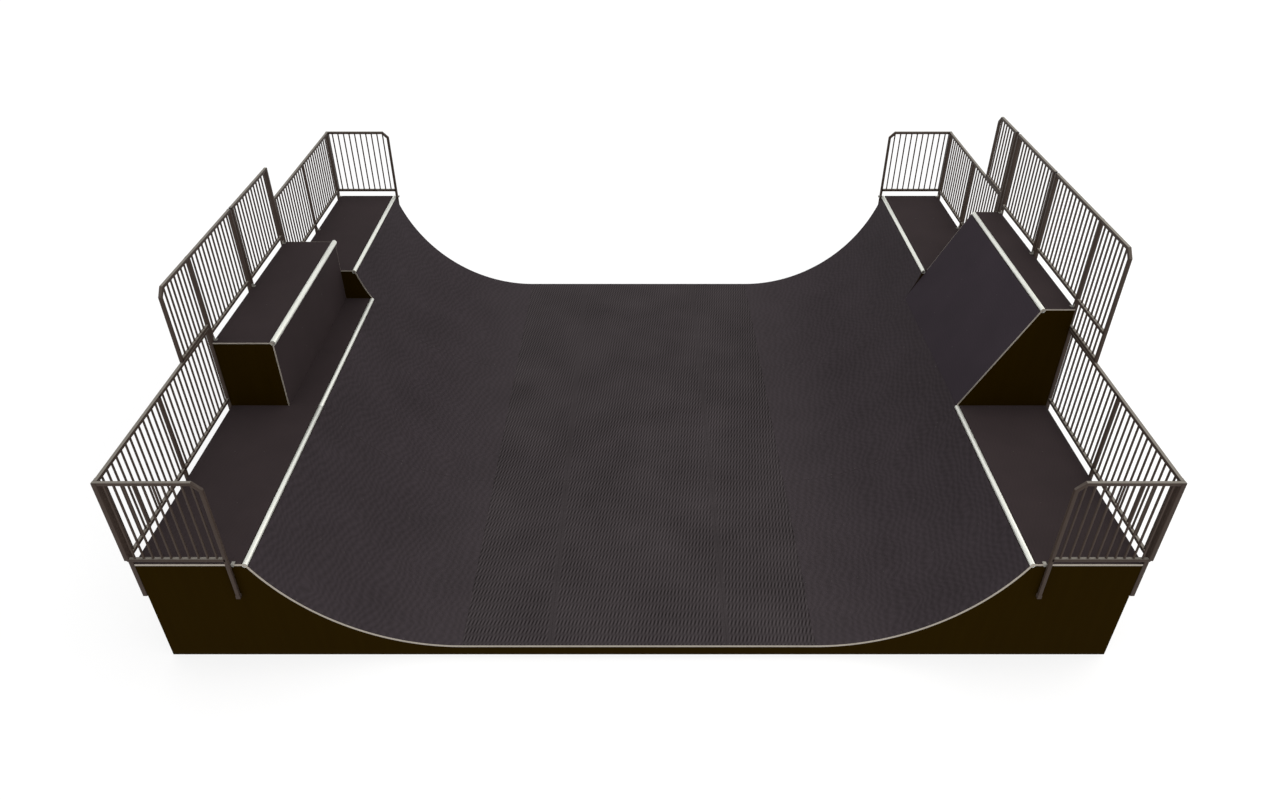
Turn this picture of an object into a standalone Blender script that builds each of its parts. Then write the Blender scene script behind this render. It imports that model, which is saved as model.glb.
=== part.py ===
"""Modular skateboard mini ramp, 11.25 m long over its guard rails, 9.26 m wide and 4.2 m high.

Three sections of 3.05 m stand side by side along Y, and every section has a quarter pipe at its left
(-X) and at its right (+X) with a flat bottom between them. The back section is half a metre higher.
The left middle deck carries a grind box, and the right middle quarter pipe runs on into a straight
bank extension. Metres, +Z up. The origin is on the ground at the centre of the footprint, +X runs from
left to right along the riding direction, and +Y runs from the front to the back.
"""

import math

import bmesh
import bpy

# Plan of the ramp
SECTION = 3.05
HALF_DEPTH = 1.5 * SECTION
HALF_WIDTH = 5.57
FLAT_HALF = 2.1
SECTION_GAP = 0.001
GAP = 0.0003

# Heights of the riding surface and of the decks
FLAT_TOP = 0.16
LOW_DECK = 1.5
HIGH_DECK = 2.0
BOX_TOP = 2.5
EXTENSION_TOP = 3.0
RADIUS = 2.55
BOX_WALL_X = 4.778

# Sheets, panels, frames
SHEET = 0.018
PANEL = 0.018
STEP_PANEL_LAP = 0.06
RIB = 0.024
FOOT_CLEARANCE = 0.002
JOIST_WIDE = 0.045
JOIST_DEEP = 0.095
JOIST_CLEARANCE = 0.006
GROUND_JOIST_TOP = 0.12
OUTER_JOIST_INSET = 0.04

# Copings and edge strips
COPING_RADIUS = 0.03015
COPING_WALL = 0.004
COPING_PROUD = 0.006
BOX_COPING_RADIUS = 0.03805
BOX_COPING_PROUD = 0.030
STRIP_WIDE = 0.025
SLIM_STRIP_WIDE = 0.018
STRIP_THICK = 0.004
STRIP_LIFT = 0.008

# Guard rails
SIDE_RAIL_X = HALF_WIDTH + 0.030
END_RAIL_Y = HALF_DEPTH + 0.030
RAIL_HEIGHT = 1.2
RAIL_CLEAR = 0.08
LEG = 0.5
TUBE = 0.04
POST = 0.05
BAR = 0.02
BAR_PITCH = 0.1105
END_BAR_PITCH = 0.1
CHAMFER = 0.1
RAIL_CLEARANCE = 0.005
UPRIGHT_DROP = 0.004
END_RAIL_REACH = 1.12
CORNER_STILE_LIFT = 0.1
RAIL_INSET = 0.021

# Facets of the round shapes
ARC_STEPS = 14
RIB_ARC_STEPS = 6
TUBE_SIDES = 20

CURVE_CENTRE_Z = FLAT_TOP + RADIUS
LEFT, RIGHT = -1, 1
SECTIONS = {
    "front": (-HALF_DEPTH, -HALF_DEPTH + SECTION - SECTION_GAP / 2),
    "middle": (-SECTION / 2 + SECTION_GAP / 2, SECTION / 2 - SECTION_GAP / 2),
    "rear": (HALF_DEPTH - SECTION + SECTION_GAP / 2, HALF_DEPTH),
}
RIB_PLACES = {
    "front": (-4.540, -3.540, -2.540, -1.541),
    "middle": (-1.509, -0.503, 0.503, 1.509),
    "rear": (1.578, 2.553, 3.546, 4.540),
}
UPPER_RIB_PLACES = (-1.490, -0.50, 0.50, 1.490)
LOW_DECK_JOIST_X = 4.46
HIGH_DECK_JOIST_X = 4.66
GROUND_JOIST_X = 4.30
CURVE_JOIST_ANGLES = (math.radians(18), math.radians(38))
BOX_JOISTS = ((4.88, 1.62), (5.48, 1.62), (4.88, 2.40), (5.48, 2.40))
EXTENSION_JOISTS = ((4.60, 1.60), (5.48, 1.60), (5.48, 2.95), (5.12, 2.40))

# Where the guard rails of the middle and back sections start, stand and end along Y
REAR_LEFT_RAIL_START = 1.585
REAR_RIGHT_RAIL_START = 1.726
OVERHANG_START = -2.330
OVERHANG_POST = -1.450
BOX_RAIL_SPANS = (0.005, (0.085, 1.525))
EXTENSION_RAIL_SPANS = (0.030, (0.115, 1.555))
EXTENSION_REAR_RAIL = (1.671, 2.455)


# Materials


def make_material(name, colour, roughness, metallic=0.0):
    material = bpy.data.materials.new(name)
    material.use_nodes = True
    shader = material.node_tree.nodes["Principled BSDF"]
    shader.inputs["Base Color"].default_value = (*colour, 1.0)
    shader.inputs["Roughness"].default_value = roughness
    shader.inputs["Metallic"].default_value = metallic
    material.diffuse_color = (*colour, 1.0)
    return material


def make_materials():
    return {
        "riding": make_material("riding_surface_board", (0.040, 0.033, 0.034), 0.60),
        "panel": make_material("brown_film_faced_plywood", (0.017, 0.009, 0.003), 0.55),
        "timber": make_material("frame_timber", (0.430, 0.290, 0.160), 0.75),
        "coping": make_material("galvanised_coping_tube", (0.680, 0.690, 0.640), 0.38, 0.85),
        "strip": make_material("edge_strip_metal", (0.420, 0.400, 0.370), 0.45, 0.80),
        "rail": make_material("painted_rail_steel", (0.060, 0.056, 0.052), 0.45, 0.40),
    }


# Mesh building


def add_box(mesh, low, high):
    """Adds a closed box to a bmesh."""
    corners = [(x, y, z) for x in (low[0], high[0]) for y in (low[1], high[1]) for z in (low[2], high[2])]
    verts = [mesh.verts.new(corner) for corner in corners]
    for face in ((0, 1, 3, 2), (4, 6, 7, 5), (0, 4, 5, 1), (2, 3, 7, 6), (0, 2, 6, 4), (1, 5, 7, 3)):
        mesh.faces.new([verts[i] for i in face])


def add_prism(mesh, outline, start, end, along="y"):
    """Adds an outline of (across, up) points, drawn out from start to end along Y or X."""
    if along == "y":
        rings = [[mesh.verts.new((a, place, z)) for a, z in outline] for place in (start, end)]
    else:
        rings = [[mesh.verts.new((place, a, z)) for a, z in outline] for place in (start, end)]
    count = len(outline)
    mesh.faces.new(rings[0])
    mesh.faces.new(list(reversed(rings[1])))
    for i in range(count):
        j = (i + 1) % count
        mesh.faces.new((rings[0][j], rings[0][i], rings[1][i], rings[1][j]))


def finish_object(name, mesh, material, smooth_angle=None):
    """Turns a bmesh into an object whose faces point out."""
    bmesh.ops.recalc_face_normals(mesh, faces=mesh.faces)
    data = bpy.data.meshes.new(name)
    mesh.to_mesh(data)
    mesh.free()
    if smooth_angle is not None:
        data.shade_smooth()
        data.set_sharp_from_angle(angle=math.radians(smooth_angle))
    data.materials.append(material)
    made = bpy.data.objects.new(name, data)
    bpy.context.collection.objects.link(made)
    return made


def union(made, name, mesh, material):
    """Joins another closed shape to an object with a Boolean, and leaves that shape as a hidden helper."""
    helper = finish_object(name, mesh, material)
    helper.hide_render = True
    helper.display_type = "WIRE"
    joined = made.modifiers.new(name, "BOOLEAN")
    joined.operation = "UNION"
    joined.solver = "EXACT"
    joined.object = helper


def prism_object(name, outline, start, end, material, along="y", smooth_angle=None):
    mesh = bmesh.new()
    add_prism(mesh, outline, start, end, along)
    return finish_object(name, mesh, material, smooth_angle)


def mirrored(outline, side):
    return [(side * across, up) for across, up in outline]


# The curve of a quarter pipe, drawn for the right side


def curve_point(angle, radius=RADIUS):
    """A point on the curve's circle, where angle 0 is the foot of the quarter pipe."""
    return FLAT_HALF + radius * math.sin(angle), CURVE_CENTRE_Z - radius * math.cos(angle)


def angle_at(height, radius=RADIUS):
    return math.acos((CURVE_CENTRE_Z - height) / radius)


def curve_points(first, last, radius=RADIUS, steps=ARC_STEPS):
    return [curve_point(first + (last - first) * i / steps, radius) for i in range(steps + 1)]


def coping_on_curve(deck):
    """Centre of the coping tube at a deck's edge, and its angle on the curve."""
    reach = RADIUS + COPING_RADIUS - COPING_PROUD
    height = deck - COPING_RADIUS + COPING_PROUD
    angle = angle_at(height, reach)
    return curve_point(angle, reach), angle


def sheet_end_angle(deck):
    """Where the curved sheet stops, just short of the coping tube."""
    angle = coping_on_curve(deck)[1]
    reach = RADIUS + COPING_RADIUS - COPING_PROUD
    return angle - math.asin((COPING_RADIUS + GAP) / reach)


BANK_ANGLE = angle_at(LOW_DECK)
BANK_RUN = (math.cos(BANK_ANGLE), math.sin(BANK_ANGLE))
BANK_UNDER = (math.sin(BANK_ANGLE), -math.cos(BANK_ANGLE))
BANK_FOOT = curve_point(BANK_ANGLE)


def bank_point(along, under=0.0):
    """A point on the straight bank: a distance up its slope, and a depth below its surface."""
    return (
        BANK_FOOT[0] + BANK_RUN[0] * along + BANK_UNDER[0] * under,
        BANK_FOOT[1] + BANK_RUN[1] * along + BANK_UNDER[1] * under,
    )


def bank_length_to(height, under=0.0):
    return (height - BANK_FOOT[1] - BANK_UNDER[1] * under) / BANK_RUN[1]


COPING_DEPTH = COPING_RADIUS - COPING_PROUD
EXTENSION_COPING_ALONG = bank_length_to(EXTENSION_TOP - COPING_DEPTH, COPING_DEPTH)
EXTENSION_COPING = bank_point(EXTENSION_COPING_ALONG, COPING_DEPTH)
BOX_COPING_DEPTH = BOX_COPING_RADIUS - BOX_COPING_PROUD
BOX_COPING = (BOX_WALL_X + BOX_COPING_DEPTH, BOX_TOP - BOX_COPING_DEPTH)


# Riding surface


def flat_sheets(materials):
    for name, (start, end) in SECTIONS.items():
        edge = FLAT_HALF - SECTION_GAP / 2
        outline = [(-edge, FLAT_TOP - SHEET), (edge, FLAT_TOP - SHEET), (edge, FLAT_TOP), (-edge, FLAT_TOP)]
        prism_object(f"flat_sheet_{name}", outline, start, end, materials["riding"])


def curved_sheet(name, side, section, last_angle, material):
    surface = curve_points(0.0, last_angle)
    under = curve_points(0.0, last_angle, RADIUS + SHEET)
    outline = mirrored(surface + under[::-1], side)
    prism_object(name, outline, *SECTIONS[section], material, smooth_angle=20)


def curved_sheets(materials):
    low, high = sheet_end_angle(LOW_DECK), sheet_end_angle(HIGH_DECK)
    last_angles = {
        (LEFT, "front"): low,
        (LEFT, "middle"): low,
        (LEFT, "rear"): high,
        (RIGHT, "front"): low,
        (RIGHT, "middle"): BANK_ANGLE,
        (RIGHT, "rear"): high,
    }
    for (side, section), last_angle in last_angles.items():
        word = "left" if side == LEFT else "right"
        curved_sheet(f"curved_sheet_{word}_{section}", side, section, last_angle, materials["riding"])


def bank_sheet(materials):
    first = SECTION_GAP
    last = EXTENSION_COPING_ALONG - COPING_RADIUS - GAP
    outline = [bank_point(first), bank_point(last), bank_point(last, SHEET), bank_point(first, SHEET)]
    prism_object("bank_sheet", outline, *SECTIONS["middle"], materials["riding"])


# Decks


def deck_board(name, side, section, inner, top, material, outer=HALF_WIDTH):
    outline = [(inner, top - SHEET), (outer, top - SHEET), (outer, top), (inner, top)]
    prism_object(name, mirrored(outline, side), *SECTIONS[section], material)


def deck_boards(materials):
    behind_low = coping_on_curve(LOW_DECK)[0][0] + COPING_RADIUS + GAP
    behind_high = coping_on_curve(HIGH_DECK)[0][0] + COPING_RADIUS + GAP
    inside_panel = HALF_WIDTH - PANEL - GAP
    board = materials["riding"]
    deck_board("deck_left_front", LEFT, "front", behind_low, LOW_DECK, board)
    deck_board("deck_left_middle", LEFT, "middle", behind_low, LOW_DECK, board, inside_panel)
    deck_board("deck_left_rear", LEFT, "rear", behind_high, HIGH_DECK, board)
    deck_board("deck_right_front", RIGHT, "front", behind_low, LOW_DECK, board)
    deck_board("deck_right_rear", RIGHT, "rear", behind_high, HIGH_DECK, board)
    deck_board("box_top", LEFT, "middle", BOX_COPING[0] + BOX_COPING_RADIUS + GAP, BOX_TOP, board)
    extension_inner = EXTENSION_COPING[0] + COPING_RADIUS + GAP
    deck_board("extension_deck", RIGHT, "middle", extension_inner, EXTENSION_TOP, board)


def box_wall(materials):
    top = BOX_COPING[1] - BOX_COPING_RADIUS - GAP
    inner, outer = BOX_WALL_X, BOX_WALL_X + PANEL
    outline = [(inner, LOW_DECK + GAP), (outer, LOW_DECK + GAP), (outer, top), (inner, top)]
    prism_object("box_wall", mirrored(outline, LEFT), *SECTIONS["middle"], materials["riding"])


# Copings


def coping(name, side, centre, start, end, material, outer=COPING_RADIUS):
    """A round tube along Y, open at both ends."""
    mesh = bmesh.new()
    rings = []
    bore = outer - COPING_WALL
    for radius, place in ((outer, start), (outer, end), (bore, end), (bore, start)):
        ring = []
        for i in range(TUBE_SIDES):
            turn = math.tau * i / TUBE_SIDES
            across = side * centre[0] + radius * math.cos(turn)
            ring.append(mesh.verts.new((across, place, centre[1] + radius * math.sin(turn))))
        rings.append(ring)
    for k in range(4):
        ring, following = rings[k], rings[(k + 1) % 4]
        for i in range(TUBE_SIDES):
            j = (i + 1) % TUBE_SIDES
            mesh.faces.new((ring[i], ring[j], following[j], following[i]))
    finish_object(name, mesh, material, smooth_angle=40)


def copings(materials):
    low, high = coping_on_curve(LOW_DECK)[0], coping_on_curve(HIGH_DECK)[0]
    tube = materials["coping"]
    coping("coping_left", LEFT, low, SECTIONS["front"][0], SECTIONS["middle"][1], tube)
    coping("coping_left_rear", LEFT, high, *SECTIONS["rear"], tube)
    coping("coping_right_front", RIGHT, low, *SECTIONS["front"], tube)
    coping("coping_right_rear", RIGHT, high, *SECTIONS["rear"], tube)
    coping("coping_box", LEFT, BOX_COPING, *SECTIONS["middle"], tube, BOX_COPING_RADIUS)
    coping("coping_extension", RIGHT, EXTENSION_COPING, *SECTIONS["middle"], tube)


# Panels


def side_outline(deck, foot, outer, steps=ARC_STEPS, with_coping=True):
    """Outline of a quarter pipe's rib or side panel, just under the riding sheet and the deck board."""
    reach = RADIUS + SHEET + GAP
    top = deck - SHEET - GAP
    (coping_x, coping_z), _ = coping_on_curve(deck)
    shelf = coping_z - COPING_RADIUS - GAP if with_coping else top
    half_step = angle_at(shelf, reach) / steps / 2
    reach = reach / math.cos(half_step)
    outline = [(FLAT_HALF + GAP, foot), (outer, foot), (outer, top)]
    if with_coping:
        notch = coping_x + COPING_RADIUS + GAP
        outline += [(notch, top), (notch, shelf)]
    curve = curve_points(0.0, angle_at(shelf, reach), reach, steps)
    curve[0] = (FLAT_HALF + GAP, curve[0][1])
    return outline + curve[::-1]


def step_outline(foot, outer):
    """The part of the high section's end that stands above the low section beside it."""
    reach = RADIUS + SHEET + GAP
    (coping_x, coping_z), _ = coping_on_curve(HIGH_DECK)
    shelf = coping_z - COPING_RADIUS - GAP
    first, last = angle_at(foot, reach), angle_at(shelf, reach)
    top = HIGH_DECK - SHEET - GAP
    notch = coping_x + COPING_RADIUS + GAP
    steps = 4
    reach = reach / math.cos((last - first) / steps / 2)
    curve = curve_points(first, angle_at(shelf, reach), reach, steps)
    return [(outer, foot), (outer, top), (notch, top), (notch, shelf)] + curve[::-1]


def extension_outline(foot, outer, inset=0.0):
    """Outline between the bank sheet, the extension's deck and the section below."""
    under = SHEET + GAP + inset
    top = EXTENSION_TOP - SHEET - GAP
    shelf = EXTENSION_COPING[1] - COPING_RADIUS - GAP
    notch = EXTENSION_COPING[0] + COPING_RADIUS + GAP
    slope_foot = bank_point(bank_length_to(foot, under), under)
    slope_top = bank_point(bank_length_to(shelf, under), under)
    return [slope_foot, (outer, foot), (outer, top), (notch, top), (notch, shelf), slope_top]


def box_outline(foot, outer):
    top = BOX_TOP - SHEET - GAP
    shelf = BOX_COPING[1] - BOX_COPING_RADIUS - GAP
    notch = BOX_COPING[0] + BOX_COPING_RADIUS + GAP
    inner = BOX_WALL_X + PANEL + GAP
    return [(inner, foot), (outer, foot), (outer, top), (notch, top), (notch, shelf), (inner, shelf)]


def end_panels(materials):
    """The brown panels across the front and the back of the ramp."""
    inside_panel = HALF_WIDTH - PANEL - GAP
    board = materials["panel"]
    fascia = [
        (-FLAT_HALF + GAP, 0.0),
        (FLAT_HALF - GAP, 0.0),
        (FLAT_HALF - GAP, FLAT_TOP - SHEET - GAP),
        (-FLAT_HALF + GAP, FLAT_TOP - SHEET - GAP),
    ]
    for name, deck, start in (("front", LOW_DECK, -HALF_DEPTH), ("rear", HIGH_DECK, HALF_DEPTH - PANEL)):
        outline = side_outline(deck, 0.0, inside_panel)
        for side, word in ((LEFT, "left"), (RIGHT, "right")):
            prism_object(f"{name}_panel_{word}", mirrored(outline, side), start, start + PANEL, board)
        prism_object(f"{name}_fascia", fascia, start, start + PANEL, board)


def step_panels(materials):
    """The ends of the high section, which show above the low decks."""
    start = SECTIONS["rear"][0]
    outline = step_outline(LOW_DECK - STEP_PANEL_LAP, HALF_WIDTH - PANEL - GAP)
    for side, word in ((LEFT, "left"), (RIGHT, "right")):
        prism_object(f"step_panel_{word}", mirrored(outline, side), start, start + PANEL, materials["panel"])


def box_and_extension_panels(materials):
    inside_panel = HALF_WIDTH - PANEL - GAP
    first, last = SECTIONS["middle"]
    box = mirrored(box_outline(LOW_DECK + GAP, inside_panel), LEFT)
    extension = extension_outline(LOW_DECK - SHEET, inside_panel)
    for word, start in (("front", first), ("rear", last - PANEL)):
        prism_object(f"box_panel_{word}", box, start, start + PANEL, materials["panel"])
        prism_object(f"extension_panel_{word}", extension, start, start + PANEL, materials["panel"])


def outer_panel(name, side, middle_top, material):
    """The stepped cladding along one outer side, under the edges of the decks."""
    under = SHEET + GAP
    first, last = SECTIONS["middle"]
    outline = [
        (-HALF_DEPTH, 0.0),
        (HALF_DEPTH, 0.0),
        (HALF_DEPTH, HIGH_DECK - under),
        (last, HIGH_DECK - under),
        (last, middle_top - under),
        (first, middle_top - under),
        (first, LOW_DECK - under),
        (-HALF_DEPTH, LOW_DECK - under),
    ]
    edges = sorted((side * (HALF_WIDTH - PANEL), side * HALF_WIDTH))
    prism_object(name, outline, *edges, material, along="x")


# Frames inside


def rib_frame(name, ribs, joists, material):
    """Upright ribs joined by joists that run through them."""
    mesh = bmesh.new()
    for place, outline in ribs:
        add_prism(mesh, outline, place - RIB / 2, place + RIB / 2)
    made = finish_object(name, mesh, material)
    mesh = bmesh.new()
    for outline, start, end in joists:
        add_prism(mesh, outline, start, end)
    union(made, f"{name}_joists", mesh, material)


def joist_outline(across, up, wide=JOIST_WIDE, deep=JOIST_DEEP):
    """Section of a joist whose top is centred on a point."""
    half = wide / 2
    return [(across - half, up - deep), (across + half, up - deep), (across + half, up), (across - half, up)]


def joist_under_curve(angle):
    """Section of a joist that stands square to the curve, a little below the sheet."""
    reach = RADIUS + SHEET + 2 * JOIST_CLEARANCE
    half = JOIST_WIDE / 2
    along, under = (math.cos(angle), math.sin(angle)), (math.sin(angle), -math.cos(angle))
    x, z = curve_point(angle, reach)
    corners = ((-half, 0.0), (-half, JOIST_DEEP), (half, JOIST_DEEP), (half, 0.0))
    return [(x + along[0] * a + under[0] * u, z + along[1] * a + under[1] * u) for a, u in corners]


def side_frame(name, side, material):
    outer = HALF_WIDTH - PANEL - 2 * GAP
    ribs = []
    for section, places in RIB_PLACES.items():
        deck = HIGH_DECK if section == "rear" else LOW_DECK
        with_coping = (side, section) != (RIGHT, "middle")
        outline = side_outline(deck, FOOT_CLEARANCE, outer, RIB_ARC_STEPS, with_coping)
        ribs += [(place, mirrored(outline, side)) for place in places]
    first, last = RIB_PLACES["front"][0], RIB_PLACES["rear"][-1]
    low_end, high_start = RIB_PLACES["middle"][-1], RIB_PLACES["rear"][0]
    low_under = LOW_DECK - SHEET - JOIST_CLEARANCE
    high_under = HIGH_DECK - SHEET - JOIST_CLEARANCE
    beside_panel = outer - OUTER_JOIST_INSET
    whole = [joist_under_curve(angle) for angle in CURVE_JOIST_ANGLES]
    whole += [joist_outline(x, GROUND_JOIST_TOP) for x in (beside_panel, GROUND_JOIST_X)]
    low = [joist_outline(x, low_under) for x in (beside_panel, LOW_DECK_JOIST_X)]
    high = [joist_outline(x, high_under) for x in (beside_panel, HIGH_DECK_JOIST_X)]
    joists = [(mirrored(outline, side), first, last) for outline in whole]
    joists += [(mirrored(outline, side), first, low_end) for outline in low]
    joists += [(mirrored(outline, side), high_start, last) for outline in high]
    rib_frame(name, ribs, joists, material)


def flat_frame(material):
    edge, top = FLAT_HALF - GAP, FLAT_TOP - SHEET - GAP
    outline = [(-edge, FOOT_CLEARANCE), (edge, FOOT_CLEARANCE), (edge, top), (-edge, top)]
    places = [place for places in RIB_PLACES.values() for place in places]
    last = edge - OUTER_JOIST_INSET
    joists = [joist_outline(last * i / 2, top - JOIST_CLEARANCE) for i in range(-2, 3)]
    runs = [(joist, places[0], places[-1]) for joist in joists]
    rib_frame("frame_flat", [(place, outline) for place in places], runs, material)


def box_frame(material):
    outer = HALF_WIDTH - PANEL - 2 * GAP
    outline = mirrored(box_outline(LOW_DECK + 2 * GAP, outer), LEFT)
    places = UPPER_RIB_PLACES
    joists = [(mirrored(joist_outline(*corner), LEFT), places[0], places[-1]) for corner in BOX_JOISTS]
    rib_frame("frame_box", [(place, outline) for place in places], joists, material)


def extension_frame(material):
    outer = HALF_WIDTH - PANEL - 2 * GAP
    outline = extension_outline(LOW_DECK - SHEET + GAP, outer, GAP)
    places = UPPER_RIB_PLACES
    joists = [(joist_outline(*corner), places[0], places[-1]) for corner in EXTENSION_JOISTS]
    rib_frame("frame_extension", [(place, outline) for place in places], joists, material)


# Edge strips


def front_strip(material):
    """The thin strip that follows the whole front profile, from deck to deck."""
    corner, low = curve_points(0.0, angle_at(LOW_DECK)), STRIP_WIDE
    under = curve_points(0.0, angle_at(LOW_DECK - low, RADIUS + low), RADIUS + low)
    right_top = corner + [(HALF_WIDTH, LOW_DECK)]
    right_under = under + [(HALF_WIDTH, LOW_DECK - low)]
    left_top = mirrored(right_top, LEFT)
    left_under = mirrored(right_under, LEFT)
    outline = left_top[::-1] + right_top + right_under[::-1] + left_under
    start = -HALF_DEPTH - GAP - STRIP_THICK
    prism_object("edge_strip_front", outline, start, start + STRIP_THICK, material)


def box_strip(material):
    """Along the top and the inner upright edge of the box's front."""
    inner, wide = BOX_WALL_X, SLIM_STRIP_WIDE
    outline = [
        (inner, LOW_DECK + GAP),
        (inner + wide, LOW_DECK + GAP),
        (inner + wide, BOX_TOP - wide),
        (HALF_WIDTH, BOX_TOP - wide),
        (HALF_WIDTH, BOX_TOP),
        (inner, BOX_TOP),
    ]
    end = SECTIONS["middle"][0] - GAP
    prism_object("edge_strip_box", mirrored(outline, LEFT), end - STRIP_THICK, end, material)


def extension_strip(material):
    """Along the deck and the slope of the extension's front."""
    wide = SLIM_STRIP_WIDE
    foot = LOW_DECK + STRIP_LIFT
    outline = [
        bank_point(bank_length_to(foot)),
        bank_point(bank_length_to(EXTENSION_TOP)),
        (HALF_WIDTH, EXTENSION_TOP),
        (HALF_WIDTH, EXTENSION_TOP - wide),
        bank_point(bank_length_to(EXTENSION_TOP - wide, wide), wide),
        bank_point(bank_length_to(foot, wide), wide),
    ]
    end = SECTIONS["middle"][0] - GAP
    prism_object("edge_strip_extension", outline, end - STRIP_THICK, end, material)


def step_strip(material):
    """Along the curve and the deck edge of the left back section, where it stands above the low deck."""
    wide = SLIM_STRIP_WIDE
    foot = LOW_DECK + STRIP_LIFT
    inner_end = BOX_WALL_X - GAP
    surface = curve_points(angle_at(foot), angle_at(HIGH_DECK), RADIUS, 4)
    reach = RADIUS + wide
    under = curve_points(angle_at(foot, reach), angle_at(HIGH_DECK - wide, reach), reach, 4)
    outline = surface + [(inner_end, HIGH_DECK), (inner_end, HIGH_DECK - wide)] + under[::-1]
    end = SECTIONS["rear"][0] - GAP
    prism_object("edge_strip_step", mirrored(outline, LEFT), end - STRIP_THICK, end, material)


# Guard rails, drawn along a run from u = 0 at height z, half a tube thick to either side of the run


def add_upright(mesh, place, low, high, size):
    half = size / 2
    add_box(mesh, (place - half, -half, low), (place + half, half, high))


def add_rail(mesh, start, end, height):
    half = TUBE / 2
    add_box(mesh, (start, -half, height - half), (end, half, height + half))


def bar_places(start, end, pitch):
    """Places of evenly pitched bars, centred between two uprights."""
    count = math.floor((end - start) / pitch - 0.5)
    first = (start + end) / 2 - pitch * (count - 1) / 2
    return [first + pitch * i for i in range(count)]


def bent_rail_outline(start, end, top, foot, chamfer_first, chamfer_last):
    """A square tube that runs along the top and turns down at a chamfered end as its upright."""
    turn = TUBE * math.tan(math.radians(22.5))
    outer, inner = [], []
    if chamfer_first:
        outer += [(start, foot), (start, top - CHAMFER), (start + CHAMFER, top)]
        inner += [
            (start + TUBE, foot),
            (start + TUBE, top - CHAMFER - turn),
            (start + CHAMFER + turn, top - TUBE),
        ]
    else:
        outer += [(start, top)]
        inner += [(start, top - TUBE)]
    if chamfer_last:
        outer += [(end - CHAMFER, top), (end, top - CHAMFER), (end, foot)]
        inner += [
            (end - CHAMFER - turn, top - TUBE),
            (end - TUBE, top - CHAMFER - turn),
            (end - TUBE, foot),
        ]
    else:
        outer += [(end, top)]
        inner += [(end, top - TUBE)]
    return outer + inner[::-1]


def guard_rail(name, run, uprights, rails, bays, material, chamfer_first=None, chamfer_last=None):
    """A welded rail panel.

    run is (start, end, top) of the top tube. uprights are (place, foot, size), rails are (start, end,
    height), and bays are (start, end, foot, pitch) of evenly pitched bars. A chamfer is the height at
    which the tube that turns down at that end stops.
    """
    start, end, top = run
    foot = chamfer_first if chamfer_first is not None else chamfer_last
    chamfers = (chamfer_first is not None, chamfer_last is not None)
    mesh = bmesh.new()
    outline = bent_rail_outline(start, end, top, foot, *chamfers)
    add_prism(mesh, outline, -TUBE / 2, TUBE / 2)
    made = finish_object(name, mesh, material)
    mesh = bmesh.new()
    for rail_start, rail_end, height in rails:
        add_rail(mesh, rail_start, rail_end, height)
    union(made, f"{name}_rails", mesh, material)
    mesh = bmesh.new()
    for place, low, size in uprights:
        add_upright(mesh, place, low, top - UPRIGHT_DROP, size)
    for bay_start, bay_end, low, pitch in bays:
        for place in bar_places(bay_start, bay_end, pitch):
            add_upright(mesh, place, low, top - TUBE / 2, BAR)
    union(made, f"{name}_uprights", mesh, material)
    return made


def place_rail(made, x, y, quarter_turns):
    """Stands a rail panel and its hidden helpers at a place, turned about Z."""
    pieces = [made] + [modifier.object for modifier in made.modifiers]
    for piece in pieces:
        piece.location = (x, y, 0.0)
        piece.rotation_euler = (0.0, 0.0, quarter_turns * math.pi / 2)


def end_rails(materials):
    """Across the front and the back edges of the decks, from the outer corner to the coping."""
    reach = END_RAIL_REACH
    for word, deck, y in (("front", LOW_DECK, -END_RAIL_Y), ("rear", HIGH_DECK, END_RAIL_Y)):
        top, low = deck + RAIL_HEIGHT, deck + RAIL_CLEAR + TUBE / 2
        for side, side_word in ((LEFT, "left"), (RIGHT, "right")):
            corner = POST / 2
            made = guard_rail(
                f"end_rail_{word}_{side_word}",
                (0.0, reach, top),
                [(corner, deck + CORNER_STILE_LIFT, POST)],
                [(corner, reach - TUBE / 2, low)],
                [(corner, reach - TUBE / 2, low, END_BAR_PITCH)],
                materials["rail"],
                chamfer_last=deck - LEG,
            )
            place_rail(made, side * (SIDE_RAIL_X + POST / 2), y, 0 if side == LEFT else 2)


def side_rail(name, side, deck, first, last, material):
    """Along the outer edge of a deck: an upright at each end and one in the middle."""
    top, low = deck + RAIL_HEIGHT, deck + RAIL_CLEAR + TUBE / 2
    length = last - first
    uprights = [(0.0, deck - LEG, POST), (length / 2, deck - LEG, TUBE), (length, deck - LEG, POST)]
    bays = [(0.0, length / 2, low, BAR_PITCH), (length / 2, length, low, BAR_PITCH)]
    made = guard_rail(name, (0.0, length, top), uprights, [(0.0, length, low)], bays, material)
    place_rail(made, side * SIDE_RAIL_X, first, 1)


def overhang_rail(name, side, deck, last, material):
    """A side rail that reaches forward over the lower rail in front of it."""
    top, low = deck + RAIL_HEIGHT, deck + RAIL_CLEAR + TUBE / 2
    under = LOW_DECK + RAIL_HEIGHT
    post, last = OVERHANG_POST - OVERHANG_START, last - OVERHANG_START
    shelf = under + RAIL_CLEARANCE + TUBE / 2
    rails = [(TUBE / 2, post, shelf)]
    rails += [(post, last, low)] if low < shelf else [(TUBE / 2, last, low)]
    made = guard_rail(
        name,
        (0.0, last, top),
        [(post, deck - LEG, POST), (last, deck - LEG, POST)],
        rails,
        [(TUBE / 2, post, shelf, BAR_PITCH * 0.92), (post, last, low, BAR_PITCH)],
        material,
        chamfer_first=under + RAIL_CLEARANCE,
    )
    place_rail(made, side * SIDE_RAIL_X, OVERHANG_START, 1)


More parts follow.
